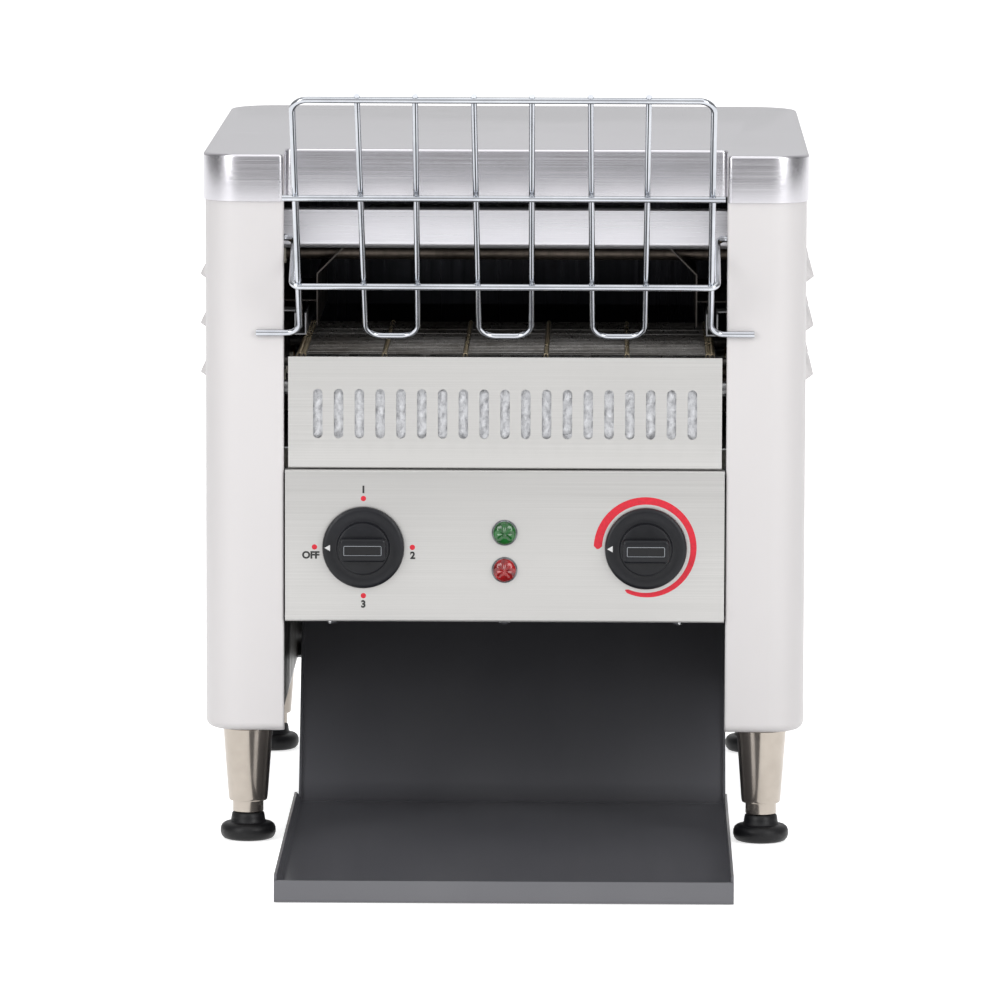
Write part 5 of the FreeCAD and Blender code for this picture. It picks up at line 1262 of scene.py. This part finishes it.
@dataclass
class WireBelt:
    """Endless belt of cross wires that hook round each other at rows of small loops."""

    front: float = 31.0
    run: float = 183.0
    axis: float = 269.0
    bend: float = 21.0
    half: float = 124.3
    wire: float = 0.95
    strands: int = 30
    rows: tuple[float, ...] = (-120.0, -72.0, -24.0, 24.0, 72.0, 120.0)
    edge_inset: float = 1.6
    hook: float = 1.3
    lead: float = 0.35
    halves: tuple[float, float] = (0.0, 0.5)
    cross_share: float = 0.6
    hook_share: float = 0.62

    def on_belt(self, along: np.ndarray, x: np.ndarray,
                lift: np.ndarray) -> tuple[np.ndarray, np.ndarray]:
        """Places points on the belt's loop.

        The loop is two straight runs joined by half circles; lift goes along its outward normal.

        Args:
            along: distance round the loop from the front of the upper run.
            x: distance across.
            lift: height above the centre line.

        Returns:
            The points and the outward normals.
        """
        arc = math.pi * self.bend
        total = 2 * (self.run + arc)
        s = np.mod(along, total)
        parts = [s < self.run, s < self.run + arc, s < 2 * self.run + arc]
        turn_rear = (s - self.run) / self.bend
        turn_front = (s - 2 * self.run - arc) / self.bend + math.pi
        angle = np.select(parts, [np.zeros_like(s), turn_rear, np.full_like(s, math.pi)],
                          turn_front)
        y = np.select(parts, [self.front + s, np.full_like(s, self.front + self.run),
                              self.front + 2 * self.run + arc - s], np.full_like(s, self.front))
        normal = np.column_stack([np.zeros_like(s), np.sin(angle), np.cos(angle)])
        centre = np.column_stack([x, y, np.full_like(s, self.axis)])
        return centre + normal * (self.bend + lift)[:, None], normal

    def hook_loop(self, start: float, pitch: float, row: float) -> Patch:
        """A narrow loop that reaches from one cross wire over the next and back.

        Round its turn it swings across by sin and along by cos, and rises by cos of twice the
        turn, so it goes over both wires and under itself between them.

        Args:
            start: distance of its cross wire round the belt.
            pitch: distance to the next wire.
            row: place of the row across.

        Returns:
            The patch of the loop.
        """
        turn = np.linspace(0, 2 * math.pi, 17)
        across = row + self.hook * np.sin(turn)
        along = start + pitch * (0.52 - 0.6 * np.cos(turn))
        lift = self.wire * (0.35 + 0.75 * np.cos(2 * turn))
        path, normal = self.on_belt(along, across, lift)
        return tube(path, self.wire * self.hook_share, normal, 6, caps=False)

    def build(self) -> None:
        """Makes the cross wires, the rows of loops and the curled edges."""
        total = 2 * (self.run + math.pi * self.bend)
        pitch = total / self.strands
        starts = np.arange(self.strands) * pitch + pitch * self.lead
        ends = np.array([-self.half, 0.0, self.half])
        edge = self.half - self.edge_inset
        rows = (*self.rows, -edge, edge)
        wires, loops = [], []
        for start in starts:
            for half in self.halves:
                place = start + half * pitch
                path, normal = self.on_belt(np.full(3, place), ends, np.zeros(3))
                wires.append(tube(path, self.wire * self.cross_share, normal, 6))
                loops += [self.hook_loop(place, pitch / 2, row) for row in rows]
        make("conveyor_belt_wires", joined(wires), BELT_WIRE, "casing",
             ["conveyor_belt"], sharp=60)
        # The paler steel of the loops is a painted highlight.
        make("conveyor_belt_loops", joined(loops), BELT_LOOP_HIGHLIGHT, "casing", sharp=60)


# Toast outlet

@dataclass
class DischargeTray:
    """Loose tray with a front lip, low sides and a ramp in one sheet."""

    centre: float = 2.8
    half: float = 131.0
    front: float = -206.0
    lip: float = 13.0
    knee: float = 158.0
    angle: float = 64.0
    ramp: float = 166.0
    bend: float = 18.0
    side: float = 16.0
    side_end: float = 92.0
    ramp_side: float = 3.5
    edge: float = 2.2
    sheet: float = 1.5
    first_stop: float = -60.0
    arc_steps: int = 12

    def build(self) -> None:
        """Makes the tray: a path along its underside, and at each point a section across it.

        The section rises at both edges to the side's height there, and the sheet is laid
        upwards from the underside.
        """
        turn = math.radians(self.angle)
        end = (self.knee + self.ramp * math.cos(turn), self.ramp * math.sin(turn))
        corners = [(self.front, self.lip), (self.front, 0.0), (self.knee, 0.0), end]
        path = rounded_path(corners, (0, self.edge, self.bend + self.sheet, 0),
                            steps=self.arc_steps)
        seam = self.arc_steps + 2
        bend_start = self.knee - (self.bend + self.sheet) * math.tan(turn / 2)
        stops = np.array([self.first_stop, self.side_end, (self.side_end + bend_start) / 2])
        body = np.vstack([path[seam - 1:seam], np.column_stack([stops, np.zeros(3)]), path[seam:]])
        inner = self.half - self.edge
        across = self.centre + np.array([-self.half, -inner, inner, self.half])
        lip = carried_across(path[:seam], across)
        height = np.interp(body[:, 0], [self.side_end, bend_start], [self.side, self.ramp_side])
        curve = np.linspace(0, math.pi / 2, 5)
        edge_x = np.concatenate([[self.half], self.half - self.edge * (1 - np.cos(curve))])
        edge_lift = np.concatenate([[1.0], self.edge * (1 - np.sin(curve))])
        lift = np.tile(edge_lift, (len(body), 1))
        lift[:, 0] = height
        lift = np.hstack([lift, lift[:, ::-1]])
        heading = unit(np.gradient(body, axis=0))
        up = np.column_stack([-heading[:, 1], heading[:, 0]])
        main = np.zeros((len(body), lift.shape[1], 3))
        main[..., 0] = self.centre + np.concatenate([-edge_x, edge_x[::-1]])
        main[..., 1] = body[:, :1] + up[:, :1] * lift
        main[..., 2] = body[:, 1:] + up[:, 1:] * lift
        make("discharge_tray_sheet", joined([lip, surface(main)]), ENAMEL, "tray",
             ["discharge_tray"], inside=(0, 60, 400), wall=self.sheet, sharp=30)


# Legs and feet

@dataclass
class Stand:
    """Four turned legs on rubber feet."""

    side: float = 153.0
    front: float = 19.0
    rear: float = 368.0

    def build(self) -> None:
        """Makes the legs as one group and each foot by itself."""
        leg = [(0, 77.0), (5.0, 77.0), (5.0, CASING_FOOT), (14.6, CASING_FOOT), (14.8, 66.9),
               (11.7, 25.2), (11.5, 24.6), (11.5, 23.9), (11.2, 23.4), (9.3, 23.2), (9.2, 22.6),
               (9.2, 16.8), (8.8, 16.3), (0, 16.3)]
        foot = [(0, 0.0), (13.2, 0.0), (14.6, 0.5), (15.9, 2.0), (16.5, 4.2), (16.4, 6.6),
                (15.6, 8.4), (14.2, 9.5), (12.4, 9.9), (11.0, 10.2), (10.2, 11.4), (10.0, 13.0),
                (9.6, 15.2), (9.0, 15.9), (0, 16.0)]
        places = {"front_left": (-self.side, self.front), "front_right": (self.side, self.front),
                  "rear_left": (-self.side, self.rear), "rear_right": (self.side, self.rear)}
        legs = [turned(leg, (x, y, 0.0), sides=64) for x, y in places.values()]
        make("turned_legs", joined(legs), NICKEL, "casing", ["legs"], sharp=25)
        for name, (x, y) in places.items():
            make(f"{name}_rubber_foot", turned(foot, (x, y, 0.0), sides=56), RUBBER,
                 f"{name}_foot", [f"foot_{name}"], sharp=40)


# Nodes of the frame that keep their own shape

FRAME_FINISHES: dict[Finish, tuple[str, ...]] = {
    ZINC: ("base_plate", "rear_cover", "control_box", "belt_pan", "belt_guides"),
    # Inner walls and reflectors: dark tone partly heat stain, partly painted shade.
    WALL_STAIN_AND_SHADE: ("inner_wall_left", "inner_wall_right", "upper_reflector", "lower_reflector"),
    # Slide: near-black tone partly heat stain, partly painted shade.
    SLIDE_STAIN_AND_SHADE: ("toast_slide",),
    FASTENER: ("rear_cover_screws", "leg_nuts"),
    BELT_WIRE: ("drive_chain", "belt_rails"),
    MACHINED: ("idler_shaft", "drive_shaft", "drive_sprockets", "idler_rollers", "shaft_sprocket",
               "motor_sprocket", "selector_knob_spindle", "browning_knob_spindle"),
    BRONZE: ("shaft_bushes", "rack_bushes"),
    MOTOR_PAINT: ("gear_motor",),
    HEATER: ("upper_heating_elements", "lower_heating_elements"),
    CERAMIC: ("element_insulators",),
    WOOL: ("insulation_blanket",),
    BLACK_PLASTIC: ("selector_switch", "speed_control", "lamp_holders", "fan_frame", "fan_rotor",
                    "cord_gland", "terminal_block"),
    CHROME: ("fan_guard",),
}


def dress_frame() -> None:
    """Gives every carried-over node its finish."""
    for finish, names in FRAME_FINISHES.items():
        for name in names:
            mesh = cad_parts[name].data
            mesh.materials.clear()
            mesh.materials.append(finish.material())
        LOG.info("%s on %s", finish.name, ", ".join(names))


# Studio

@dataclass
class Studio:
    """Pale floor, soft lights, plain surroundings and the camera."""

    eye: tuple[float, float, float] = (0.064, -4.794, 0.7905)
    pitch: float = 7.09
    yaw: float = 0.815
    roll: float = -0.15
    focal: float = 288.0
    room: tuple[tuple[float, float], ...] = ((0.0, 0.72), (0.1, 0.65), (0.25, 0.45), (0.42, 0.2),
                                             (0.5, 0.13), (0.66, 0.16), (0.76, 0.6), (0.84, 1.0),
                                             (0.94, 0.95), (0.985, 0.5), (1.0, 0.4))
    room_level: float = 0.9
    room_blue: float = 1.01
    ceiling: float = 0.5
    lights: tuple[tuple[str, tuple[float, float, float], tuple[float, float], float], ...] = (
        ("key_left", (-2.3, -2.6, 1.7), (1.2, 2.4), 38),
        ("key_right", (2.3, -2.6, 1.7), (1.2, 2.4), 38),
        ("overhead", (0.0, -0.6, 3.2), (2.6, 2.0), 22))
    target: tuple[float, float, float] = (0.0, 0.1, 0.22)
    floor_x: tuple[float, float] = (-12, 12)
    floor_y: tuple[float, float] = (-8, 14)
    floor_z: float = -0.0004
    floor_grey: float = 0.86
    floor_glow: float = 0.72

    def build(self) -> None:
        """Sets up the whole studio."""
        self.floor()
        self.surroundings()
        for light in self.lights:
            self.light(*light)
        self.camera()
        bpy.context.scene.view_settings.view_transform = "Standard"

    def floor(self) -> None:
        """Makes the floor, which looks white wherever no shadow falls."""
        mesh = bpy.data.meshes.new("floor")
        (left, right), (near, far), z = self.floor_x, self.floor_y, self.floor_z
        corners = [(left, near, z), (right, near, z), (right, far, z), (left, far, z)]
        mesh.from_pydata(corners, [], [(0, 1, 2, 3)])
        floor = bpy.data.objects.new("floor", mesh)
        bpy.context.scene.collection.objects.link(floor)
        tree = Tree("studio_floor")
        tree.set(Base_Color=(*(self.floor_grey,) * 3, 1), Roughness=0.9, Specular_IOR_Level=0.1)
        glow = tree.node("ShaderNodeEmission")
        glow.inputs["Color"].default_value = (*(self.floor_glow,) * 3, 1)
        path = tree.node("ShaderNodeLightPath")
        seen = path.outputs["Is Camera Ray"]
        for ray in ("Is Glossy Ray", "Is Transmission Ray"):
            either = tree.node("ShaderNodeMath", operation="MAXIMUM")
            tree.links.new(seen, either.inputs[0])
            tree.links.new(path.outputs[ray], either.inputs[1])
            seen = either.outputs["Value"]
        tree.links.new(seen, glow.inputs["Strength"])
        total = tree.node("ShaderNodeAddShader")
        tree.links.new(tree.shader.outputs["BSDF"], total.inputs[0])
        tree.links.new(glow.outputs["Emission"], total.inputs[1])
        tree.links.new(total.outputs["Shader"], tree.output.inputs["Surface"])
        mesh.materials.append(tree.material)

    def surroundings(self) -> None:
        """Makes a plain room: palest in front, dark to both sides and paler towards its ceiling."""
        world = bpy.data.worlds.new("studio")
        world.use_nodes = True
        nodes, links = world.node_tree.nodes, world.node_tree.links
        nodes.clear()
        output = nodes.new("ShaderNodeOutputWorld")
        room = nodes.new("ShaderNodeBackground")
        coordinates = nodes.new("ShaderNodeTexCoord")
        split = nodes.new("ShaderNodeSeparateXYZ")
        depth = nodes.new("ShaderNodeMapRange")
        depth.inputs["From Min"].default_value = 1.0
        depth.inputs["From Max"].default_value = -1.0
        height = nodes.new("ShaderNodeMath")
        height.operation = "MULTIPLY"
        height.use_clamp = True
        height.inputs[1].default_value = self.ceiling
        above = nodes.new("ShaderNodeBackground")
        total = nodes.new("ShaderNodeAddShader")
        ramp = nodes.new("ShaderNodeValToRGB")
        fill_ramp(ramp, [(place, (level, level, level * self.room_blue, 1))
                         for place, level in self.room])
        room.inputs["Strength"].default_value = self.room_level
        for source, target in ((coordinates.outputs["Generated"], split.inputs["Vector"]),
                               (split.outputs["Y"], depth.inputs["Value"]),
                               (depth.outputs["Result"], ramp.inputs["Fac"]),
                               (ramp.outputs["Color"], room.inputs["Color"]),
                               (split.outputs["Z"], height.inputs[0]),
                               (height.outputs["Value"], above.inputs["Strength"]),
                               (room.outputs["Background"], total.inputs[0]),
                               (above.outputs["Background"], total.inputs[1]),
                               (total.outputs["Shader"], output.inputs["Surface"])):
            links.new(source, target)
        bpy.context.scene.world = world

    def light(self, name: str, place: Sequence[float], size: Sequence[float], power: float) -> None:
        """Adds a soft light that faces the machine.

        Args:
            name: its name.
            place: its centre in metres.
            size: its width and height in metres.
            power: its power in watts.
        """
        data = bpy.data.lights.new(name, "AREA")
        data.shape = "RECTANGLE"
        data.size, data.size_y = size
        data.energy = power
        lamp = bpy.data.objects.new(name, data)
        lamp.location = place
        aim = Vector(self.target) - Vector(place)
        lamp.rotation_euler = aim.to_track_quat("-Z", "Y").to_euler()
        bpy.context.scene.collection.objects.link(lamp)

    def camera(self) -> None:
        """Places a long lens in front of the machine, a little above it and to one side."""
        pitch, yaw, roll = (math.radians(value) for value in (self.pitch, self.yaw, self.roll))
        forward = Vector((-math.sin(yaw) * math.cos(pitch), math.cos(yaw) * math.cos(pitch),
                          -math.sin(pitch)))
        right = forward.cross(Vector((0, 0, 1))).normalized()
        up = right.cross(forward)
        tilt = Matrix.Rotation(roll, 3, forward)
        right, up = tilt @ right, tilt @ up
        data = bpy.data.cameras.new("camera")
        data.lens = self.focal
        data.sensor_width = 36.0
        data.clip_end = 60.0
        eye = bpy.data.objects.new("camera", data)
        axes = Matrix((right, up, -forward)).transposed().to_4x4()
        eye.matrix_world = Matrix.Translation(self.eye) @ axes
        bpy.context.scene.collection.objects.link(eye)
        bpy.context.scene.camera = eye


def write_sizes() -> None:
    """Updates the view layer so that every placement is current."""
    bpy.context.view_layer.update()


def main() -> None:
    """Builds every sub-assembly in order."""
    logging.basicConfig(level=logging.INFO, format="%(name)s: %(message)s")
    dress_frame()
    for assembly in (TopCover(), SidePanel(), NoseGuard(), SlottedPanel(), ControlPanel(),
                     Knob("selector_knob", "selector", -KNOB_SIDE),
                     Knob("browning_knob", "browning", KNOB_SIDE),
                     LoadingRack(), WireBelt(), DischargeTray(), Stand(), Studio()):
        LOG.info("building %s", type(assembly).__name__)
        assembly.build()
    write_sizes()


if __name__ == "__main__":
    main()
